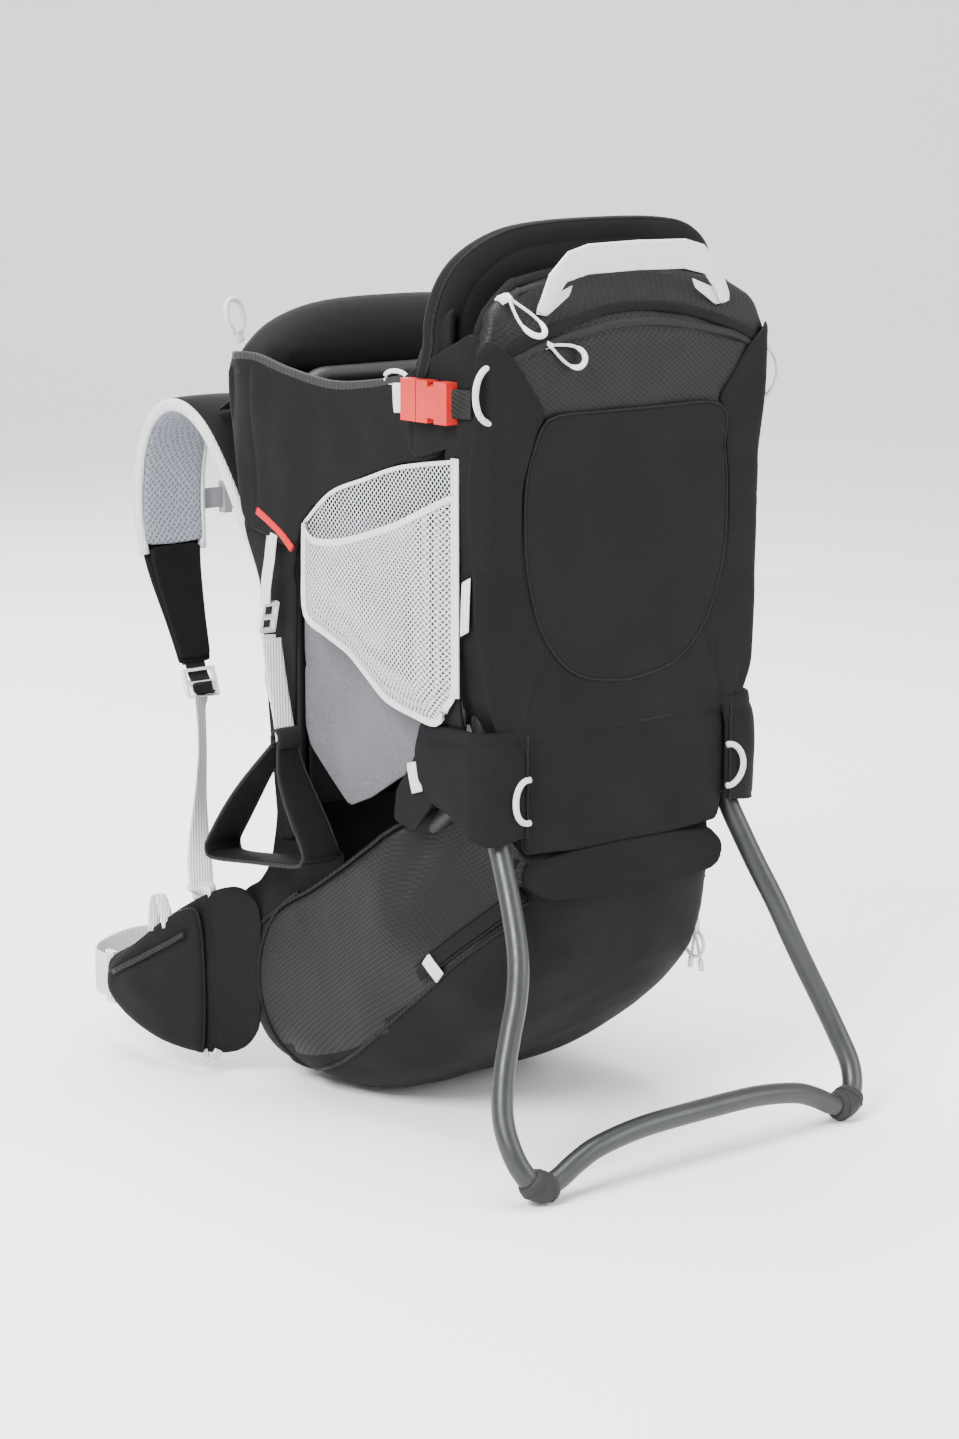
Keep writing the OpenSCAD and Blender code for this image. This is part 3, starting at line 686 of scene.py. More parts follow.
def on_bag(y, z, s, lift=0.8):
    """The point of the bag's side on side s that is nearest to (y, z) seen from the side."""
    side = np.array([p for row in BAG for p in row[:22]])
    gap = np.hypot(side[:, 1] - y, side[:, 2] - z)
    near = np.argsort(gap)[:4]
    weight = 1 / (gap[near] + 0.5) ** 2
    x, _, _ = (side[near] * weight[:, None]).sum(0) / weight.sum()
    return (-s * (x - lift), y, z)


# The seams of the bag's patterned side panel: the one under it and the one in front (Y, Z)
SEAM_Y = [-240, -214, -178, -140, -100, -60, -20, 20, 52, 80, 104]
SEAM_Z = [214, 196, 164, 130, 98, 66, 40, 22, 14, 16, 34]
FRONT_SEAM = [(26, 176), (46, 162), (64, 144), (75, 120), (78, 92), (74, 62), (64, 36), (52, 18)]


def bag():
    m = len(BAG[0])
    points = [p for row in BAG for p in row]
    faces = [(i * m + j, i * m + (j + 1) % m, (i + 1) * m + (j + 1) % m, (i + 1) * m + j)
             for i in range(len(BAG) - 1) for j in range(m)]
    faces += [tuple(range(m))[::-1], tuple((len(BAG) - 1) * m + j for j in range(m))]
    shell = mesh_object("bag_shell", points, faces, "black_fabric", level=1)
    shell.data.materials.append(MATERIALS["black_ripstop"])
    for face in shell.data.polygons:
        j = face.vertices[0] % m
        middle = face.center / MM
        front = float(np.interp(middle.z, [z for _, z in FRONT_SEAM[::-1]], [y for y, _ in FRONT_SEAM[::-1]]))
        beside = abs(middle.x) > 0.94 * bag_half_width(middle.y, middle.z) and middle.y < front
        if len(face.vertices) == 4 and beside and middle.z > float(np.interp(middle.y, SEAM_Y, SEAM_Z)):
            face.material_index = 1
    fix_normals(shell)
    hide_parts("lower_bag")
    for s, side in BOTH:
        first = 1 if s < 0 else 2        # on the right, the slider needs the room
        line = [on_bag(y, z, s, 0.4) for y, z in spline(list(zip(SEAM_Y, SEAM_Z))[first:-1], 5)]
        piping(f"bag_seam_low_{side}", spline(line[::2], 3), 1.5)
        front = [on_bag(y, z, s, 0.4) for y, z in spline(FRONT_SEAM, 4)]
        piping(f"bag_seam_front_{side}", spline(front[::2], 3), 1.5)
        top = [BAG[i][0 if s < 0 else 56] for i in range(3, 57, 2)]
        piping(f"bag_seam_top_{side}", spline(top, 3), 1.6)
        line = [(-214, 214), (-198, 200), (-178, 182), (-158, 164), (-140, 148), (-126, 136)]
        zip_line = [on_bag(y, z, s, 1.2) for y, z in line[first - 1:]]
        sweep(f"bag_zip_cover_{side}", spline(zip_line, 5), tape(13, 2.6, 1.0), "black_fabric",
              up=(0, 0.65, 0.76), taper=lambda t: 1.0 - 0.35 * smoothstep(0.8, 1.0, t))
        edge = [(x, y + 5.0, z + 5.6) for x, y, z in zip_line]
        piping(f"bag_zip_edge_{side}", spline(edge, 5), 0.9)
        low = [(x, y - 5.2, z - 5.6) for x, y, z in zip_line]
        piping(f"bag_zip_low_{side}", spline(low, 5), 0.9)
        tab = [on_bag(y, z, s, 2.6) for y, z in [(-152, 139), (-144, 146), (-137, 152)]]
        sweep(f"bag_zip_tab_{side}", spline(tab, 4), tape(13, 2.0, 0.5), "pale_webbing", up=(0, 0.7, -0.7))
    lip = [(-98, 242), (-100, 218), (-60, 212), (0, 210), (60, 212), (100, 218), (98, 242), (0, 247)]
    place = lambda u, v, d: (u, -223 + (u / 100) ** 2 * 10 - (246 - v) * 0.55 - d, v - 3)
    pad("bag_zip_lip", spline(lip, 2, True), place, "black_fabric", half=1.7, crown=1.2, edge=1.8,
        seams=[[(-100, 222), (0, 215), (100, 222)]], wrinkle=1.6, wrinkle_mm=30, level=1)
    for s, side in BOTH:
        loop = [(s * 34, 96, 11), (s * 34, 104, 7), (s * 34, 108, 3.4), (s * 34, 100, 2.6), (s * 34, 86, 3)]
        sweep(f"bag_toe_loop_{side}", spline(loop, 4), tape(20, 2.0), "black_webbing", up=(1, 0, 0))


# ---- rear panel, pockets and headrest ----
def tower():
    half = [(0, 324), (118, 326), (138, 372), (146, 430), (149, 520), (150, 600), (149, 634), (143, 644),
            (134, 634), (88, 580), (70, 576), (0, 576)]
    outline = mirrored(half)
    seam_side = [(137, 350), (143, 430), (146, 520), (146, 600)]
    lower = [(104, 345), (97, 372), (84, 398)]
    seams = [seam_side, [(-x, z) for x, z in seam_side], lower, [(-x, z) for x, z in lower]]
    body = pad("rear_panel", outline, face_place(-197), "black_fabric", half=24, crown=1.0, edge=15,
               power=4.0, spacing=6.5, seams=seams, groove=1.3, wrinkle=1.6, wrinkle_mm=50, level=1)
    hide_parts("pack_body")
    half = [(0, 373), (50, 382), (84, 412), (102, 460), (106, 510), (102, 552), (90, 584), (40, 587)]
    outline = mirrored([tuple(p) for p in spline(half, 4)])
    place = lambda u, v, d: (u, -221.5 - 8.0 * smoothstep(545, 580, v) - d, v)
    pocket = pad("stretch_pocket", outline, place, "stretch_fabric", half=2.0, crown=3.4, edge=5,
                 spacing=6.0, wrinkle=0.7, wrinkle_mm=80, level=1, swell=45)
    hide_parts("stretch_pocket")
    rim = [place(x, z, 1.1) for x, z in outline]
    piping("stretch_pocket_seam", resample(rim, 6, True), 1.0, closed=True)
    lapel = [(-151, 636), (-144, 648), (-120, 628), (-91, 590), (-102, 560), (-108, 530), (-109, 490),
             (-105, 450), (-92, 408), (-98, 376), (-104, 340), (-127, 338), (-140, 372), (-147, 430),
             (-151, 520)]
    for s, side in BOTH:
        def fold(u, v, d, s=s):
            heights = [338, 380, 540, 590, 640, 651]
            lean = float(np.interp(v, heights, [-217, -219.5, -221, -229, -230.5, -228]))
            return (-s * u, lean - d + 14 * smoothstep(-137, -156, u), v)
        pad(f"lapel_{side}", lapel, fold, "black_fabric", half=2.2, crown=1.6, edge=2.4, spacing=5,
            seams=[[(-138, 345), (-144, 430), (-146, 520), (-146, 600), (-140, 640)]], groove=0.9,
            wrinkle=2.4,
            wrinkle_mm=34, level=1)
    label = [(-197, 420), (-207, 425), (-209, 467), (-199, 462)]
    pad("side_label", spline(label, 1, True), side_place(148.6, -1), "pale_webbing", half=0.6, edge=0.8,
        spacing=3)


def pocket_y(z):
    """Y of the top pocket's front at height z."""
    return float(np.interp(z, [560, 600, 640, 657, 690], [-216, -219.5, -221.5, -219.5, -190]))


def top_place(u, v, d):
    slope = smoothstep(646, 664, v)
    tuck = 7 * (abs(u) / 146) ** 5
    return (u, pocket_y(v) + tuck - d * (1 - 0.3 * slope), v + 0.7 * slope * d)


ZIP_RADIUS = 420.0       # of both arched zips
FRONT_ZIP_CENTRE = 232.0                 # Z of the middle of the front zip's arc
SLOPE = 0.7071           # sine and cosine of the top's 45 degrees


def arc(half_angle, steps=36):
    """The front zip's arc, in degrees to each side of the middle."""
    return [(ZIP_RADIUS * math.sin(a), FRONT_ZIP_CENTRE + ZIP_RADIUS * math.cos(a))
            for a in np.radians(np.linspace(-half_angle, half_angle, steps))]


def top_pocket():
    half = [(0, 566), (138, 566), (147, 600), (147, 640), (136, 664), (112, 680), (60, 690), (0, 692)]
    arches = [[(x, z - 4) for x, z in arc(15)], [(x, z + 5) for x, z in arc(16)]]
    body = pad("top_pocket", mirrored(half), top_place, "black_ripstop", half=9, crown=2.0, edge=9,
               power=3.0, spacing=6.0, seams=arches, groove=1.6, wrinkle=1.8, wrinkle_mm=38, level=1)
    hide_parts("top_pocket")
    ends = [(-141, 600), (-139, 616), (-130, 628)]
    for name, shift, width, thick in (("front_zip", 0.0, 6.5, 2.0), ("front_zip_hood", 7.5, 9.0, 3.6)):
        flat = [(x, z + shift) for x, z in ends + arc(15.5)[1:-1]]
        flat += [(-x, z + shift) for x, z in reversed(ends)]
        line = [top_place(x, z, 10.4 - 3.0 * smoothstep(112, 141, abs(x))) for x, z in spline(flat, 2)]
        made = sweep(name, line, tape(width, thick, 0.8), "thread" if shift == 0 else "black_fabric",
                     up=lambda t: (0.9 * (2 * t - 1) ** 5, 0.35, 1))
        if shift == 0:
            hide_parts("zip_trims")
    ends = [(-143, -214, 622), (-141, -214, 640), (-130, -212, 660)]
    for name, rise, wide, thick in (("shade_zip", 0.0, 6.5, 2.0), ("shade_zip_hood", 8.0, 9.0, 3.6)):
        lift = rise * SLOPE
        line = [(x, y + lift, z + lift) for x, y, z in ends]
        for a in np.radians(np.linspace(-14.5, 14.5, 30)):
            along = (ZIP_RADIUS * math.cos(a) - ZIP_RADIUS + rise) * SLOPE
            line.append((ZIP_RADIUS * math.sin(a), -200.5 + along, 688.5 + along))
        line += [(-x, y + lift, z + lift) for x, y, z in reversed(ends)]
        sweep(name, spline(line, 2), tape(wide, thick, 0.8), "thread" if rise == 0 else "black_fabric",
              up=lambda t: (0.9 * (2 * t - 1) ** 5, 0.7, 0.7))


def headrest():
    half = [(0, 596), (140, 596), (149, 640), (144, 678), (128, 706), (98, 724), (60, 730.5), (0, 732)]
    outline = spline(mirrored(half), 4, True)
    place = lambda u, v, d: (u, -180.5 + 24 * (abs(u) / 148) ** 4 - d, v)
    inner = [(x * 0.88, 596 + (z - 596) * 0.87) for x, z in outline if z > 604]
    body = pad("headrest", outline, place, "black_fabric", half=8.5, crown=1.5, back_crown=6, edge=9,
               power=2.6, spacing=6.5, seams=[inner], groove=1.5, wrinkle=2.2, wrinkle_mm=42, level=1)
    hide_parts("headrest")
    edge = [place(x * 0.985, 596 + (z - 596) * 0.985, 5.5) for x, z in outline if z > 606]
    piping("headrest_piping", edge, 1.5)
    for s, side in BOTH:
        wing = [(-178, 612), (-178, 668), (-150, 650), (-133, 620), (-133, 606)]
        pad(f"headrest_wing_{side}", wing, side_place(139, s), "black_fabric", half=4, crown=2, spacing=5,
            wrinkle=1.0)


def lower_flap():
    outline = [(-103, 246), (-50, 243), (50, 243), (103, 246), (109, 296), (107, 346), (54, 339), (-54, 339),
               (-107, 346), (-109, 296)]
    lean = lambda v: 6.0 * smoothstep(322, 347, v)
    place = lambda u, v, d: (u, -220 + lean(v) + 1.5 * (u / 108) ** 4 - d, v)
    body = pad("lower_flap", outline, place, "black_fabric", half=3.4, crown=1.6, edge=3, spacing=6,
               seams=[[(-99, 253), (0, 250), (99, 253)]], groove=1.2, wrinkle=1.6,
               wrinkle_mm=60, level=1)
    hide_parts("lower_flap")
    top = [place(x, z, 4.2) for x, z in [(-106, 345), (-54, 339), (0, 338), (54, 339), (106, 345)]]
    piping("lower_flap_seam", spline(top, 6), 1.1)
    behind = [(-101, 232), (101, 232), (104, 300), (100, 336), (-100, 336), (-104, 300)]
    pad("bag_rear_cloth", behind, face_place(-205), "black_fabric", half=9, crown=1, edge=8, spacing=7,
        wrinkle=2.0, wrinkle_mm=40)
    for s, side in BOTH:
        def wrap(u, v, d, s=s):
            corner, r = 18.0, 22.0
            if u < corner:
                return (s * (107 + u), -225.5 + lean(v) - d, v)
            turn = min(1.0, (u - corner) / (r * math.pi / 2)) * math.pi / 2
            x = 107 + corner + (r + d) * math.sin(turn)
            y = -225.5 + r - (r + d) * math.cos(turn) + max(0.0, u - corner - r * math.pi / 2)
            return (s * (x - 0.4 * lean(v)), y + lean(v) * math.cos(turn), v)
        outline = [(-2, 262), (20, 259), (36, 257), (50, 262), (72, 276), (92, 283), (112, 300), (116, 322),
                   (112, 346), (60, 347), (-2, 346)]
        hem = [(0, 266), (20, 263), (36, 261), (50, 266), (72, 280), (90, 287)]
        body = pad(f"stand_cover_{side}", outline, wrap, "black_fabric", half=2.2, crown=1.6, edge=2.6,
                   spacing=5, seams=[hem, [(0, 335), (60, 337), (110, 333)]], groove=1.0, wrinkle=1.6,
                   wrinkle_mm=30, level=1)
        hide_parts("side_housings")
        seam = [(s * 108, -228.5, z) for z in np.linspace(262, 344, 16)]
        piping(f"stand_cover_seam_{side}", seam, 0.9)


def loop_and_pulls():
    for s, side in BOTH:
        for x, y, z, r, where in ((107, -229.6, 291, 15.5, "low"), (140, -225.2, 606, 19.5, "top")):
            line = [(s * (x + r * math.sin(a) * 0.92), y + 1.0 * math.cos(2 * a), z + r * math.cos(a) * 1.1)
                    for a in np.linspace(-0.12, math.pi + 0.12, 22)]
            made = sweep(f"gear_loop_{where}_{side}", line, circle(2.5, 12), "pale_webbing")
            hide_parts("gear_loops")
        base = np.array([s * 140, 96.0, 630.0])
        tear = []
        for a in np.linspace(0, 2 * math.pi, 33):
            wide = 12.5 * math.sin(a) * (0.55 + 0.45 * math.sin(a / 2))
            rise = 1 - math.cos(a)
            tear.append(tuple(base + (s * (wide + 3 * rise), -0.35 * wide, 14.5 * rise)))
        made = sweep(f"cord_loop_{side}", tear[:-1], circle(2.3, 10), "pale_webbing", closed=True)
        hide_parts("cord_loops")
        knot = [base + (s * -4, 0, -4), base + (0, 0, -1), base + (s * 3, -1, 4)]
        sweep(f"cord_loop_knot_{side}", spline(knot, 4), circle(3.6, 12), "pale_webbing")


def teardrop(name, top, tip, out, body, node, half_width=10.5):
    """A cord pull with a moulded grip: top and tip are its ends, out its side's direction."""
    top, tip, out = (np.array(p, float) for p in (top, tip, out))
    down = tip - top
    length = np.linalg.norm(down)
    down /= length
    across = np.cross(down, out)
    across /= np.linalg.norm(across)
    def at(a):
        wide = half_width * math.sin(a) * math.sin(a / 2) ** 1.4
        return top + down * length * (1 - math.cos(a)) / 2 + across * wide
    cord = [at(a) for a in np.linspace(0.02, 2 * math.pi - 0.02, 49)]
    made = sweep(name, cord, circle(1.25, 10), "pale_webbing", body)
    grip = [at(a) for a in np.linspace(0.62 * math.pi, 1.38 * math.pi, 25)]
    shape = lambda t: 1.0 - 0.45 * abs(2 * t - 1) ** 5
    sweep(name + "_grip", grip, circle(2.3, 12), "pale_plastic", body, taper=shape)
    knot = spline([top - 3.0 * down, top, top + 3.0 * down], 3)
    sweep(name + "_knot", knot, circle(2.4, 10), "pale_plastic", body)
    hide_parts(node)


def pulls():
    teardrop("shade_pull", (-118, -217, 677), (-112, -248, 650), (0, -0.8, 0.6),
             "shade_slider", "shade_zip_pull", 13)
    teardrop("pocket_pull", (-90, -231.5, 641), (-60, -238, 627), (0, -1, 0),
             "pocket_slider", "pocket_zip_pull")
    for k, (dy, dz) in enumerate([(-6, -34), (5, -33)]):
        start = (102.5, -196, 147)
        line = spline([start, (103, -196 + dy * 0.5, 135), (103.5, -196 + dy, 147 + dz * 0.7)], 5)
        sweep(f"bag_pull_{k}", line, circle(1.3, 8), "pale_webbing", "bag_slider")
        sweep(f"bag_pull_grip_{k}", spline([line[-1], line[-1] + (0.2, dy * 0.25, -9)], 4), circle(2.4, 10),
              "pale_plastic", "bag_slider")


def handle():
    half = [(0, 716), (50, 715), (70, 710), (88, 694), (98, 672), (99, 665), (90, 663), (84, 674), (72, 687),
            (50, 692), (0, 693)]
    outline = mirrored(half)
    place = lambda u, v, d: (u, -229.5 - 1.5 * math.cos(u / 99 * math.pi / 2) - d, v)
    body = pad("carry_handle", outline, place, "handle_webbing", "grab_handle", half=2.0, crown=0.4,
               edge=1.8, spacing=4, seams=[[(-66, 706), (0, 712), (66, 706)],
                                           [(-66, 693), (0, 697), (66, 693)]],
               groove=0.5)
    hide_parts("grab_handle")
    for s, side in BOTH:
        tab = [(s * 62, 684), (s * 96, 672), (s * 98, 664), (s * 88, 662), (s * 66, 676)]
        pad(f"handle_end_{side}", tab, face_place(-226.0), "handle_webbing", "grab_handle", half=1.2,
            edge=1.2,
            spacing=4)


# ---- cockpit ----
def cockpit():
    wall = [(-170, 616), (-126, 611), (-90, 604), (-38, 600), (20, 606), (64, 614), (104, 612), (110, 602),
            (107, 566), (98, 530), (86, 486), (80, 476), (50, 470), (13, 464), (2, 486), (-37, 516),
            (-126, 546), (-170, 556)]
    rim = [(-132, 612), (-90, 604.5), (-38, 600), (20, 606), (64, 614), (100, 613)]
    front_seam = [(70, 606), (68, 560), (62, 500)]
    for s, side in BOTH:
        bow = lambda u: 3.0 * math.sin(math.pi * min(1.0, max(0.0, (u + 170) / 280)))
        place = lambda u, v, d, s=s, bow=bow: (s * (143.5 + bow(u) - 6 * smoothstep(84, 112, u) + d), u, v)
        body = pad(f"cockpit_side_{side}", spline(wall, 2, True), place, "black_fabric", half=3.0, crown=2.2,
                   edge=3.0, spacing=6, seams=[front_seam], groove=1.2, wrinkle=2.6, wrinkle_mm=42, level=1)
        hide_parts("side_walls")
        edge = [place(u, v - 1.0, 0.3) for u, v in spline(rim, 6)]
        sweep(f"rim_binding_{side}", edge, tape(9.0, 5.4, 1.2), "binding", up=(0, 0, 1))
        red = [place(u, v, 3.6) for u, v in spline([(61, 490), (44, 483), (28, 475), (13, 464)], 5)]
        sweep(f"red_piping_{side}", red, tape(6.5, 2.6, 0.8), "red_piping", up=(0, 0.5, -0.85))
        tab = [(-216, 572), (-216, 646), (-196, 645), (-160, 628), (-127, 611), (-129, 584), (-136, 556),
               (-150, 553), (-180, 562)]
        place = lambda u, v, d, s=s: (s * (148.2 + d - 5.5 * smoothstep(-200, -222, u)), u, v)
        body = pad(f"buckle_tab_{side}", spline(tab, 2, True), place, "black_fabric", half=1.7, crown=1.6,
                   edge=2, spacing=5, seams=[[(-132, 608), (-134, 560)], [(-140, 608), (-142, 560)]],
                   groove=0.7, wrinkle=1.4, wrinkle_mm=30, level=1)
        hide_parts("side_tabs")
        buckle_webbing(s, side)
    across = [(-143, 484), (143, 484), (145, 606), (-145, 606)]
    place = lambda u, v, d: (u, 84.5 + 16.5 * smoothstep(506, 584, v) + d, v)
    body = pad("cockpit_front", across, place, "black_fabric", half=8, crown=1.5, edge=8, spacing=7,
               seams=[[(-134, 590), (134, 590)], [(-90, 488), (-96, 588)], [(90, 488), (96, 588)]],
               wrinkle=1.5, level=1)
    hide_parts("front_wall")
    half = [(0, 596), (138, 596), (146, 606), (140, 621), (118, 640), (86, 652), (50, 657), (0, 658)]
    place = lambda u, v, d: (u, 84 - 6 * (1 - (u / 146) ** 2) + d, v)
    chin = pad("drool_pad", spline(mirrored(half), 3, True), place, "charcoal_fabric", half=18, crown=4,
               back_crown=5, edge=20, power=2.2, spacing=7, wrinkle=1.2, wrinkle_mm=60, level=1)
    puff(chin, lambda x, y, z: z < 606 or abs(x) > 138, 3.0, 5.0)
    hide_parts("drool_pad")
    lining = [(-112, 242), (112, 242), (116, 420), (126, 586), (-126, 586), (-116, 420)]
    place = lambda u, v, d: (u, 41 - d, v)
    body = pad("cockpit_lining", lining, place, "charcoal_fabric", half=1.6, crown=3, spacing=7,
               seams=[[(-114, 420), (114, 420)]], wrinkle=2.0, level=1)
    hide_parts("cockpit_lining")
    inner = [(-160, 500), (30, 500), (38, 600), (-38, 594), (-120, 604), (-166, 606)]
    for s, side in BOTH:
        place = lambda u, v, d, s=s: (s * (131 + 7 * smoothstep(540, 600, v) - d), u, v)
        body = pad(f"cockpit_bolster_{side}", inner, place, "charcoal_fabric", half=4.5, crown=4, edge=7,
                   spacing=7, wrinkle=1.8, level=1)


def buckle_webbing(s, side):
    """White tape that holds the side buckle's halves to the tab, and the small loop above it."""
    x = s * 151.0
    tail = [(x + s * 4, -141, 598), (x + s * 3.5, -135, 597.5), (x + s * 1.0, -128, 597),
            (x + s * 0.8, -121, 596.5)]
    sweep(f"side_plug_tape_{side}", spline(tail, 3), tape(23, 1.8), "pale_webbing", f"side_plug_{side}",
          up=(0, 0, 1))
    sweep(f"side_plug_bar_{side}", [(s * 155.7, -146, 586), (s * 155.7, -146, 610)], circle(3.1, 12),
          "coral_plastic", f"side_plug_{side}")
    hold = [(x + s * 4.5, -195, 598), (x + s * 2, -200, 598), (x + s * 0.6, -206, 598),
            (x - s * 1.2, -212, 598)]
    sweep(f"side_socket_tape_{side}", spline(hold, 3), tape(22, 1.8), "black_webbing", up=(0, 0, 1))
    loop = [(s * 146.5, -104 - 14 * (1 - math.cos(a)), 611 + 5.5 * math.sin(a)) for a in
            np.linspace(0.25, 2 * math.pi - 0.25, 24)]
    sweep(f"side_loop_{side}", loop, circle(1.9, 10), "pale_webbing")


def seat():
    wing = [(37, 312), (30, 296), (4, 274), (-21, 254), (-50, 266), (-86, 288), (-130, 310), (-168, 332),
            (-172, 430), (-172, 530), (37, 530)]
    for s, side in BOTH:
        dish = lambda u, v: -4.0 * math.sin(math.pi * smoothstep(-172, 37, u)) * smoothstep(250, 420, v)
        place = lambda u, v, d, s=s, dish=dish: (s * (119 + dish(u, v) + d), u, v)
        body = pad(f"seat_side_{side}", wing, place, "grey_fabric", half=1.4, crown=1.5, edge=1.6, spacing=6,
                   seams=[[(-168, 372), (-80, 366), (34, 366)], [(-86, 300), (-60, 366)]], groove=1.4,
                   wrinkle=4.0, wrinkle_mm=52, level=1)
        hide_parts("seat_wings")
        strip = [(42, 216), (62, 214), (68, 262), (78, 350), (86, 440), (90, 482), (14, 474), (34, 440),
                 (38, 330)]
        place = lambda u, v, d, s=s: (s * (128.5 + 12 * smoothstep(420, 480, v) + d), u, v)
        body = pad(f"edge_strip_{side}", strip, place, "black_fabric", half=1.8, crown=0.8, spacing=5,
                   wrinkle=1.2, level=1)
        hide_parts("edge_gussets")
        skirt = [(106, 92), (118, 116), (112, 158), (90, 172), (76, 196), (70, 240), (64, 284), (44, 286),
                 (38, 250), (10, 222), (-22, 214), (-14, 196), (20, 174), (50, 156), (80, 132), (94, 108)]
        cling = lambda v: float(np.interp(v, [92, 150, 190, 230, 290], [136, 133, 126, 124, 127]))
        place = lambda u, v, d, s=s, cling=cling: (s * (cling(v) + d), u, v)
        pad(f"hip_skirt_{side}", spline(skirt, 2, True), place, "black_fabric", half=2.0, crown=1.6,
            spacing=6, wrinkle=3.0, wrinkle_mm=34, level=1)
        gusset = [(-192, 386), (-168, 350), (-140, 338), (-118, 306), (-100, 284), (-96, 258), (-122, 252),
                  (-150, 284), (-168, 312), (-192, 340)]
        place = lambda u, v, d, s=s: (s * (133 + 12 * smoothstep(300, 380, v) + d), u, v)
        pad(f"corner_gusset_{side}", gusset, place, "black_fabric", half=1.8, crown=1.2, spacing=5,
            wrinkle=1.5, level=1)
        for k, (y, z, tilt) in enumerate([(-137, 318, 0.15), (-123, 299, -0.35)]):
            tag = [(s * 136, y, z + 10), (s * 137, y + tilt * 8, z), (s * 137, y + tilt * 20, z - 13)]
            sweep(f"side_tag_{side}_{k}", spline(tag, 4), tape(9 + 5 * k, 1.4), "pale_webbing", up=(0, 1, 0))
    half = [(0, 34), (30, 33), (43, 24), (40, 0), (48, -60), (66, -84), (84, -100), (84, -158), (0, -158)]
    saddle = spline(mirrored(half), 3, True)
    place = lambda u, v, d: (u, v, 303.5 + 5 * (abs(u) / 84) ** 2 + d)
    base = pad("child_seat_base", saddle, place, "grey_fabric", "child_seat", half=6.5, crown=3, edge=7,
               spacing=6, seams=[[(-30, -150), (-26, 0)], [(30, -150), (26, 0)]], wrinkle=1.0, level=1)
    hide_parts("child_seat_base")
    half = [(0, 318), (76, 318), (83, 330), (83, 490), (74, 508), (52, 519), (0, 520)]
    place = lambda u, v, d: (u, -163 + 4 * (u / 84) ** 2 + d, v)
    back = pad("child_seat_back", spline(mirrored(half), 3, True), place, "grey_fabric", "child_seat",
               half=6, crown=2.5, edge=6, spacing=6, seams=[[(-80, 380), (80, 380)],
                                                            [(-80, 450), (80, 450)]], level=1)
    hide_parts("child_seat_back")
    for s, side in BOTH:
        line = [(s * 38, -153, 512), (s * 38, -151, 470), (s * 38, -150.5, 400), (s * 36, -151, 350),
                (s * 30, -150, 320)]
        made = sweep(f"harness_pad_{side}", spline(line, 5), tape(26, 5.0, 1.5), "charcoal_fabric",
                     "child_seat",
                     up=(1, 0, 0))
        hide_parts("child_harness")
        edge = [(p[0] + s * 12, p[1] + 2.6, p[2]) for p in spline(line, 3)]
        piping(f"harness_edge_{side}", edge, 0.8, "binding", "child_seat")
    sweep("harness_chest_strap", [(x, -149.5, 432) for x in np.linspace(-27, 27, 8)], tape(20, 1.6),
          "black_webbing", "child_seat", up=(0, 0, 1))
    lap = [(0, -151, 316), (0, -120, 314.6), (0, -80, 314), (0, -44, 315), (0, -30, 320)]
    sweep("harness_crotch_strap", spline(lap, 5), tape(25, 2.0), "black_webbing", "child_seat",
          up=(1, 0, 0))
    for name, centre in (("harness_chest_buckle", (0, -148, 432)), ("harness_crotch_buckle", (0, -40, 319))):
        buckle_cover(name, centre)


def buckle_cover(name, centre):
    """A small generic clasp with softened corners and a pressed middle."""
    half = [(0, -13), (12, -13), (15, -8), (15, 8), (12, 13), (0, 13)]
    x, y, z = centre
    flat = y > -100
    place = (lambda u, v, d: (x + u, y + v, z + d)) if flat else (lambda u, v, d: (x + u, y + d, z + v))
    pad(name, mirrored(half), place, "dark_plastic", "child_seat", half=3.0, crown=0.6, edge=3, spacing=3,
        seams=[[(-7, -6), (7, -6)], [(-7, 6), (7, 6)]], groove=0.8)


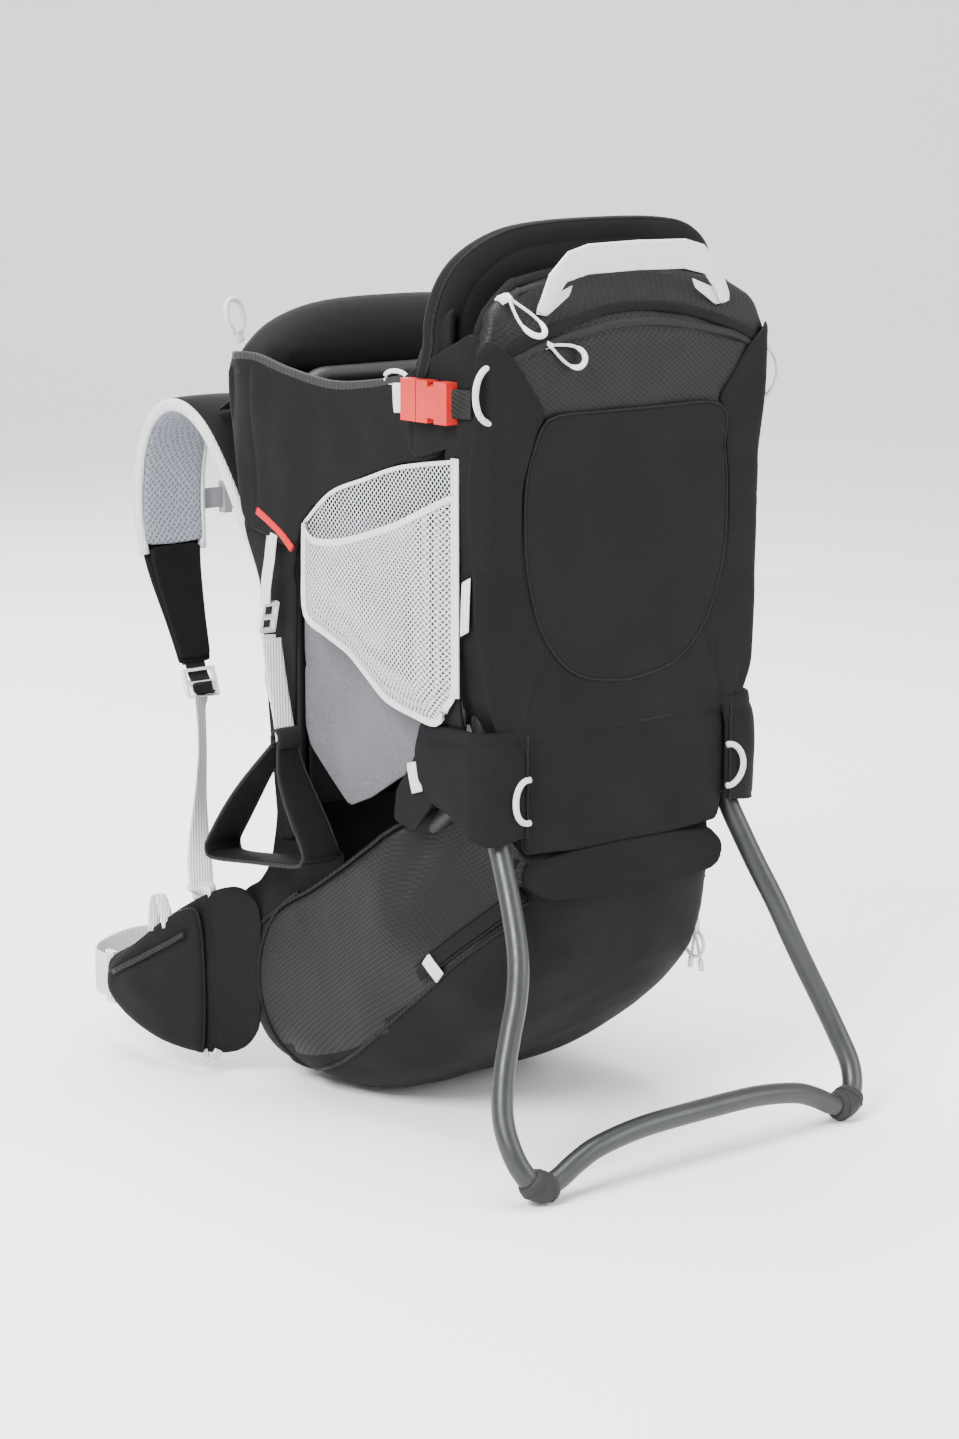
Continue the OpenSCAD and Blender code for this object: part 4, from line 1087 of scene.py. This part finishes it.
# ---- mesh pockets ----
def mesh_pockets():
    sewn = [(-3, 486), (-2, 450), (-4, 413), (-30, 401), (-60, 390), (-86, 373), (-108, 359), (-140, 352),
            (-168, 349), (-182, 364), (-191, 382), (-191, 450), (-190, 528)]
    mouth = [(-186, 524), (-150, 505), (-112, 492), (-72, 481), (-36, 477), (-12, 482)]
    outline = sewn + mouth
    back = [(-3, 411), (-3, 487), (-37, 514), (-80, 529), (-126, 543), (-194, 554), (-194, 381), (-168, 350),
            (-106, 361), (-60, 392)]
    for s, side in BOTH:
        flat, triangles, _ = fill(np.array(outline, float), 6.0, [2.0, 6.0], ())
        held = distance(flat, np.array(sewn, float), False)
        bulge = 15.5 * (1 - (1 - np.clip(held / 44, 0, 1)) ** 2)
        ripple = [0.8 * noise.noise(Vector((u, v, 3)) / 26) * min(1, h / 12) for (u, v), h in zip(flat, held)]
        points = [(s * (149.2 + b + r), u, v) for (u, v), b, r in zip(flat, bulge, ripple)]
        faces = [f if s > 0 else f[::-1] for f in triangles]
        outer = mesh_object(f"mesh_pocket_{side}", points, faces, "pocket_mesh", level=1)
        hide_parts("mesh_pockets")
        inner_flat, inner_faces, _ = fill(np.array(back, float), 7.0, [3.0], ())
        points = [(s * (148.2 + 0.6 * noise.noise(Vector((u, v, 9)) / 30)), u, v) for u, v in inner_flat]
        inner = mesh_object(f"mesh_back_{side}", points, [f if s > 0 else f[::-1] for f in inner_faces],
                            "pocket_mesh", level=1)
        mouth_line = []
        for u, v in spline([(-190, 528)] + mouth + [(-3, 486)], 5):
            h = float(distance(np.array([(u, v)]), np.array(sewn, float), False)[0])
            mouth_line.append((s * (149.6 + 15.5 * (1 - (1 - min(1, h / 44)) ** 2)), u, v))
        rim = sweep(f"mesh_rim_{side}", mouth_line, tape(5.5, 1.6), "pale_webbing", up=(0, 0.15, 1))
        border = [(s * 149.6, u, v) for u, v in spline(sewn, 4)]
        binding = sweep(f"mesh_binding_{side}", border, tape(6.0, 1.8), "pale_webbing",
                        up=lambda t: (0, -1, 0.4) if t > 0.72 else (0, -0.4, 1))
        spine = [(s * 149.4, -192, z) for z in np.linspace(372, 556, 20)]
        sweep(f"mesh_spine_{side}", spine, tape(9.0, 2.2, 0.5), "pale_webbing", up=(0, 1, 0))
        top = [(-189, 553), (-126, 543), (-80, 529), (-37, 514), (-3, 487)]
        top = [(s * 149.0, u, v) for u, v in spline(top, 5)]
        edge = sweep(f"mesh_back_edge_{side}", top, tape(3.5, 1.4), "pale_webbing", up=(0, 0, 1))


# ---- back, hip belt and harness ----
HIP = [(149, 66), (150, 100), (156, 135), (166, 170), (173, 205), (175, 246)]


def hip_line(t, d, s):
    """The point at distance t along a hip wing's path, d outwards, as X and Y."""
    line = spline(HIP, 8)
    gaps = np.r_[0, np.cumsum(np.linalg.norm(np.diff(line, axis=0), axis=1))]
    t = min(max(t, 0.0), gaps[-1])
    x, y = np.interp(t, gaps, line[:, 0]), np.interp(t, gaps, line[:, 1])
    ahead = min(t + 2, gaps[-1])
    behind = max(t - 2, 0)
    dx = np.interp(ahead, gaps, line[:, 0]) - np.interp(behind, gaps, line[:, 0])
    dy = np.interp(ahead, gaps, line[:, 1]) - np.interp(behind, gaps, line[:, 1])
    size = math.hypot(dx, dy)
    return s * (x + d * dy / size), y - d * dx / size


def hip_place(s):
    """Places a point u along a hip wing, v up and d outwards. The wing thins into the bag's side."""
    def place(u, v, d):
        thin = smoothstep(8, 70, u)
        x, y = hip_line(u, d * (0.25 + 0.75 * thin), s)
        return (x - s * 12 * (1 - thin), y, v)
    return place


def hip_belt():
    wing = [(14, 62), (20, 40), (38, 23), (70, 18), (106, 22), (140, 34), (168, 50), (182, 58), (184, 74),
            (176, 86), (140, 106), (104, 134), (68, 156), (40, 167), (22, 160), (12, 140)]
    pouch = [(62, 28), (70, 22), (106, 26), (140, 38), (166, 53), (172, 66), (164, 82), (138, 102),
             (104, 129),
             (78, 144), (64, 138), (60, 84)]
    for s, side in BOTH:
        body = pad(f"hip_wing_{side}", spline(wing, 3, True), hip_place(s), "black_fabric", half=7,
                   crown=2, back_crown=2, edge=8, spacing=6, seams=[[(56, 24), (54, 90), (60, 156)]],
                   wrinkle=1.8,
                   wrinkle_mm=36, level=1)
        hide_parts("hip_wings")
        place = hip_place(s)
        lining = [(u * 0.96 + 3, 92 + (v - 92) * 0.88) for u, v in spline(wing, 3, True)]
        pad(f"hip_lining_{side}", lining, lambda u, v, d, place=place: place(u, v, -7.6 - d), "dark_spacer",
            half=2.0, crown=1.4, spacing=7)
        zip_line = [(74, 121), (100, 106), (128, 90), (156, 74)]
        body = pad(f"hip_pocket_{side}", spline(pouch, 3, True),
                   lambda u, v, d, place=place: place(u, v, 11 + d), "black_fabric", half=4.5, crown=5,
                   edge=7, spacing=5.5, seams=[zip_line, [(72, 128), (98, 114), (126, 98), (156, 80)]],
                   groove=1.4,
                   wrinkle=1.8, wrinkle_mm=28, level=1)
        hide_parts("hip_pockets")
        rim = [place(u, v, 12.0) for u, v in spline(pouch, 4, True)]
        piping(f"hip_pocket_piping_{side}", rim, 1.2, closed=True)
        zipper = [place(u, v, 19.3) for u, v in spline([(76, 124.5), (100, 110), (127, 94), (156, 77)], 4)]
        sweep(f"hip_pocket_zip_{side}", zipper, tape(4.5, 1.6), "black_webbing", up=(0, 0, 1))
        lug = [place(98, 126, 12), place(102, 142, 12), place(108, 152, 11), place(114, 143, 10),
               place(114, 120, 12)]
        sweep(f"hip_top_loop_{side}", spline(lug, 5), tape(11, 2.2, 0.4), "pale_webbing", up=(s, 0.3, 0.1))
        low = [place(50, 24, 9), place(54, 17, 10), place(60, 15, 9), place(64, 22, 10)]
        sweep(f"hip_low_loop_{side}", spline(low, 5), tape(8, 1.8), "pale_webbing", up=(s, 0.3, 0.1))
        tip = [place(172, 64, 0), place(178, 64, 0), (s * 175, 240, 64), (s * 174.5, 246, 64)]
        sweep(f"hip_tip_tape_{side}", spline(tip, 4), tape(32, 1.6), "pale_webbing", up=(0, 0, 1))
    belt = [(175, 256), (170, 278), (150, 299), (115, 311), (75, 317)]
    for s, side, end in ((-1, "left", 34), (1, "right", 18.5)):
        line = spline([(s * x, y, 64 + 1.2 * math.sin(x / 14)) for x, y in belt] + [(s * end, 318, 64)], 7)
        made = sweep(f"belt_webbing_{side}", line, tape(38, 2.0), "pale_webbing",
                     body="pack" if s < 0 else None, up=(0, 0, 1))
        if s > 0:
            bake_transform(made)
        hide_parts(f"belt_webbing_{side}")


def back():
    half = [(0, 180), (96, 180), (108, 190), (111, 230), (111, 440), (104, 466), (84, 479), (0, 480)]
    place = lambda u, v, d: (u, float(np.interp(v, [178, 330, 430, 480], [72, 76, 80, 77])) + d, v)
    seams = [[(-104, z), (104, z)] for z in (240, 300, 360, 420)] + [[(0, 186), (0, 474)]]
    body = pad("back_panel", spline(mirrored(half), 3, True), place, "dark_spacer", half=9, crown=4, edge=9,
               spacing=6.5, seams=seams, groove=4.0, level=1)
    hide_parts("back_panel")
    half = [(0, 55), (92, 55), (106, 68), (108, 100), (104, 140), (84, 170), (0, 174)]
    place = lambda u, v, d: (u, float(np.interp(v, [54, 90, 110, 150, 174], [86, 94, 96, 90, 80])) + d, v)
    pad_body = pad("lumbar_pad", spline(mirrored(half), 3, True), place, "dark_spacer", half=16, crown=7,
                   edge=18, power=2.2, spacing=7, seams=[[(-60, 62), (-66, 168)], [(60, 62), (66, 168)]],
                   groove=5.0,
                   level=1)
    puff(pad_body, lambda x, y, z: y < 76, 3.0, 5.0)
    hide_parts("lumbar_pad")
    frame_edge = [(-111, 484), (-113, 500), (113, 500), (111, 484)]
    place = lambda u, v, d: (u, 78 + d, v)
    pad("back_panel_top", frame_edge, place, "black_fabric", half=5, crown=1, spacing=6)


STRAP = [(66, 110, 396), (72, 117, 430), (79, 131, 470), (84, 151, 512), (88, 178, 548), (90, 210, 562),
         (90, 242, 551), (90, 262, 520), (90, 269, 472), (90, 263, 422), (90, 249, 376), (90, 233, 334)]


def harness():
    half = [(0, 394), (58, 394), (66, 402), (66, 460), (56, 468), (0, 470)]
    place = lambda u, v, d: (u, 102.5 + d, v)
    body = pad("yoke", spline(mirrored(half), 3, True), place, "black_fabric", "harness", half=3, crown=0.6,
               spacing=5, seams=[[(-58, 432), (58, 432)]], level=1)
    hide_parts("yoke")
    shape = lambda t: 1.0 - 0.48 * smoothstep(0.74, 1.0, t) - 0.12 * smoothstep(0.12, 0.0, t)
    for s, side in BOTH:
        path = spline(side_of(s, STRAP), 8)
        outer = sweep(f"shoulder_strap_{side}", path, tape(66, 7.0, 1.8, -3.2), "black_fabric", "harness",
                      up=(1, 0, 0), taper=shape, level=1)
        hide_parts("shoulder_straps")
        cut = int(len(path) * 0.80)
        sweep(f"strap_lining_{side}", path[4:cut], tape(63, 6.0, -1.2, 3.2), "spacer_mesh", "harness",
              up=(1, 0, 0), level=1)
        sweep(f"strap_end_lining_{side}", path[cut - 1:-1], tape(58, 6.0, -1.0, 3.1), "black_fabric",
              "harness", up=(1, 0, 0), taper=lambda t: 0.96 - 0.42 * t, level=1)
        for k, at in enumerate((-1, 1)):
            rim = [p + (at * (32.5 * shape(i / (len(path) - 1))), 0, 0)
                   for i, p in enumerate(path[:cut + 1])]
            sweep(f"strap_binding_{side}_{k}", rim, circle(3.6, 10, 1.5), "pale_webbing", "harness",
                  up=(1, 0, 0))
        tape_line = [(s * 90, 218.5, 566.5), (s * 90, 244, 556), (s * 90, 268.6, 523), (s * 90, 277, 472),
                     (s * 90, 271, 421), (s * 90, 256, 373), (s * 90, 238, 332)]
        sweep(f"strap_tape_{side}", spline(tape_line, 6), tape(22, 1.4), "black_webbing", "harness",
              up=(1, 0, 0))
        hold = [(s * 90, 236, 336), (s * 90, 231, 325), (s * 90, 225, 317), (s * 91, 220, 308),
                (s * 92, 222, 318)]
        sweep(f"strap_end_loop_{side}", spline(hold, 4), tape(21, 1.8), "black_webbing", "harness",
              up=(1, 0, 0))
        low = [(91, 228, 318), (93, 224, 308), (96, 219, 298), (104, 206, 262), (118, 190, 222),
               (134, 170, 188), (147, 150, 162), (150, 140, 150)]
        line = spline(side_of(s, low), 6)
        web = sweep(f"strap_webbing_{side}", line, tape(24, 1.8), "pale_webbing", body=None,
                    up=lambda t, s=s: (1, -0.8 * s * math.sin(math.pi * min(1.0, 1.3 * t)), 0))
        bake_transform(web)
        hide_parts("strap_webbing")
        lifter = spline(side_of(s, [(92, 176, 560), (94, 150, 574), (95, 122, 589), (96, 107, 598)]), 6)
        web = sweep(f"load_lifter_{side}", lifter, tape(20, 1.8), "black_webbing", body=None, up=(1, 0, 0))
        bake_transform(web)
        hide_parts("load_lifters")
        anchor = [(148, 150, 162), (152, 140, 152), (155, 128, 146)]
        sweep(f"strap_fin_{side}", spline(side_of(s, anchor), 5), tape(30, 2.6), "pale_webbing",
              up=(0.2, 1, 1),
              taper=lambda t: 0.75 + 0.5 * t)
    line = [(x, 272, 470 + 0.4 * math.sin(x / 5)) for x in np.linspace(2.3, 56, 16)]
    web = sweep("sternum_webbing", line, tape(18, 1.6), "grey_plastic", body=None, up=(0, 0, 1))
    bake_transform(web)
    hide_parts("sternum_webbing")


# ---- stirrups ----
STIRRUP = [(26, 306), (70, 262), (108, 214), (114, 202), (106, 195), (50, 201), (-8, 208), (-19, 214),
           (-19, 224), (14, 274), (22, 306)]


def stirrups():
    for s, side in BOTH:
        body = f"stirrup_{side}"
        path = [(s * 150, y, z) for y, z in spline(STIRRUP, 6)]
        pinch = lambda t: 1.0 - 0.45 * smoothstep(0.17, 0.0, min(t, 1 - t))
        band = sweep(f"stirrup_band_{side}", path, tape(36, 4.4, 0.8), "black_fabric", body, up=(1, 0, 0),
                     taper=pinch, level=1)
        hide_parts(f"stirrup_{side}")
        for k, at in enumerate((-17.2, 17.2)):
            rim = [(x + at * pinch(i / (len(path) - 1)), y, z) for i, (x, y, z) in enumerate(path)]
            piping(f"stirrup_edge_{side}_{k}", rim, 1.5, "thread", body)
        wrap = [(s * 150, y, z) for y, z in [(20, 300), (19, 309), (24, 315), (29, 309), (28, 300)]]
        sweep(f"stirrup_wrap_{side}", spline(wrap, 5), tape(24, 3.0), "black_webbing", body, up=(1, 0, 0))
        hang = [(s * 150, 42, 387), (s * 150, 38, 366), (s * 150, 33, 344), (s * 150, 27, 320),
                (s * 150, 24, 305)]
        sweep(f"stirrup_tape_{side}", spline(hang, 5), tape(20, 2.0), "pale_webbing", body, up=(1, 0, 0))
        tail = [(s * 151, 45, 390), (s * 152, 40, 372), (s * 150, 43, 352), (s * 151, 37, 336)]
        sweep(f"stirrup_tail_{side}", spline(tail, 5), tape(15, 1.6), "pale_webbing", body, up=(1, 0, 0),
              taper=lambda t: 1.0 - 0.25 * t)
        up = [(s * 149, 51, 414), (s * 149, 50, 430), (s * 148, 46, 452), (s * 148, 42, 474)]
        sweep(f"stirrup_anchor_tape_{side}", spline(up, 5), tape(18, 2.0), "pale_webbing", up=(0.2, 1, 0))


# ---- carried-over CAD pieces ----
CAD_LOOKS = {
    "frame_metal": ("back_frame", "rear_frame", "frame_rails"),
    "bolt_steel": ("pivot_bolts",),
    "dark_plastic": ("frame_clamps", "framesheet", "kickstand_brackets", "kickstand_hubs"),
    "pale_plastic": ("belt_adjusters", "belt_buckle_socket", "belt_buckle_plug", "strap_adjusters",
                     "stirrup_anchors", "shade_zip_slider", "pocket_zip_slider", "bag_zip_slider"),
    "grey_plastic": ("sternum_strap", "sternum_plug"),
    "coral_plastic": ("side_buckle_sockets", "side_plug_left", "side_plug_right"),
}


def cad_looks():
    for material, names in CAD_LOOKS.items():
        for name in names:
            nodes[name].data.materials.clear()
            nodes[name].data.materials.append(MATERIALS[material])


stage()
kickstand()
bag()
tower()
top_pocket()
headrest()
lower_flap()
loop_and_pulls()
pulls()
handle()
cockpit()
seat()
mesh_pockets()
hip_belt()
back()
harness()
stirrups()
cad_looks()
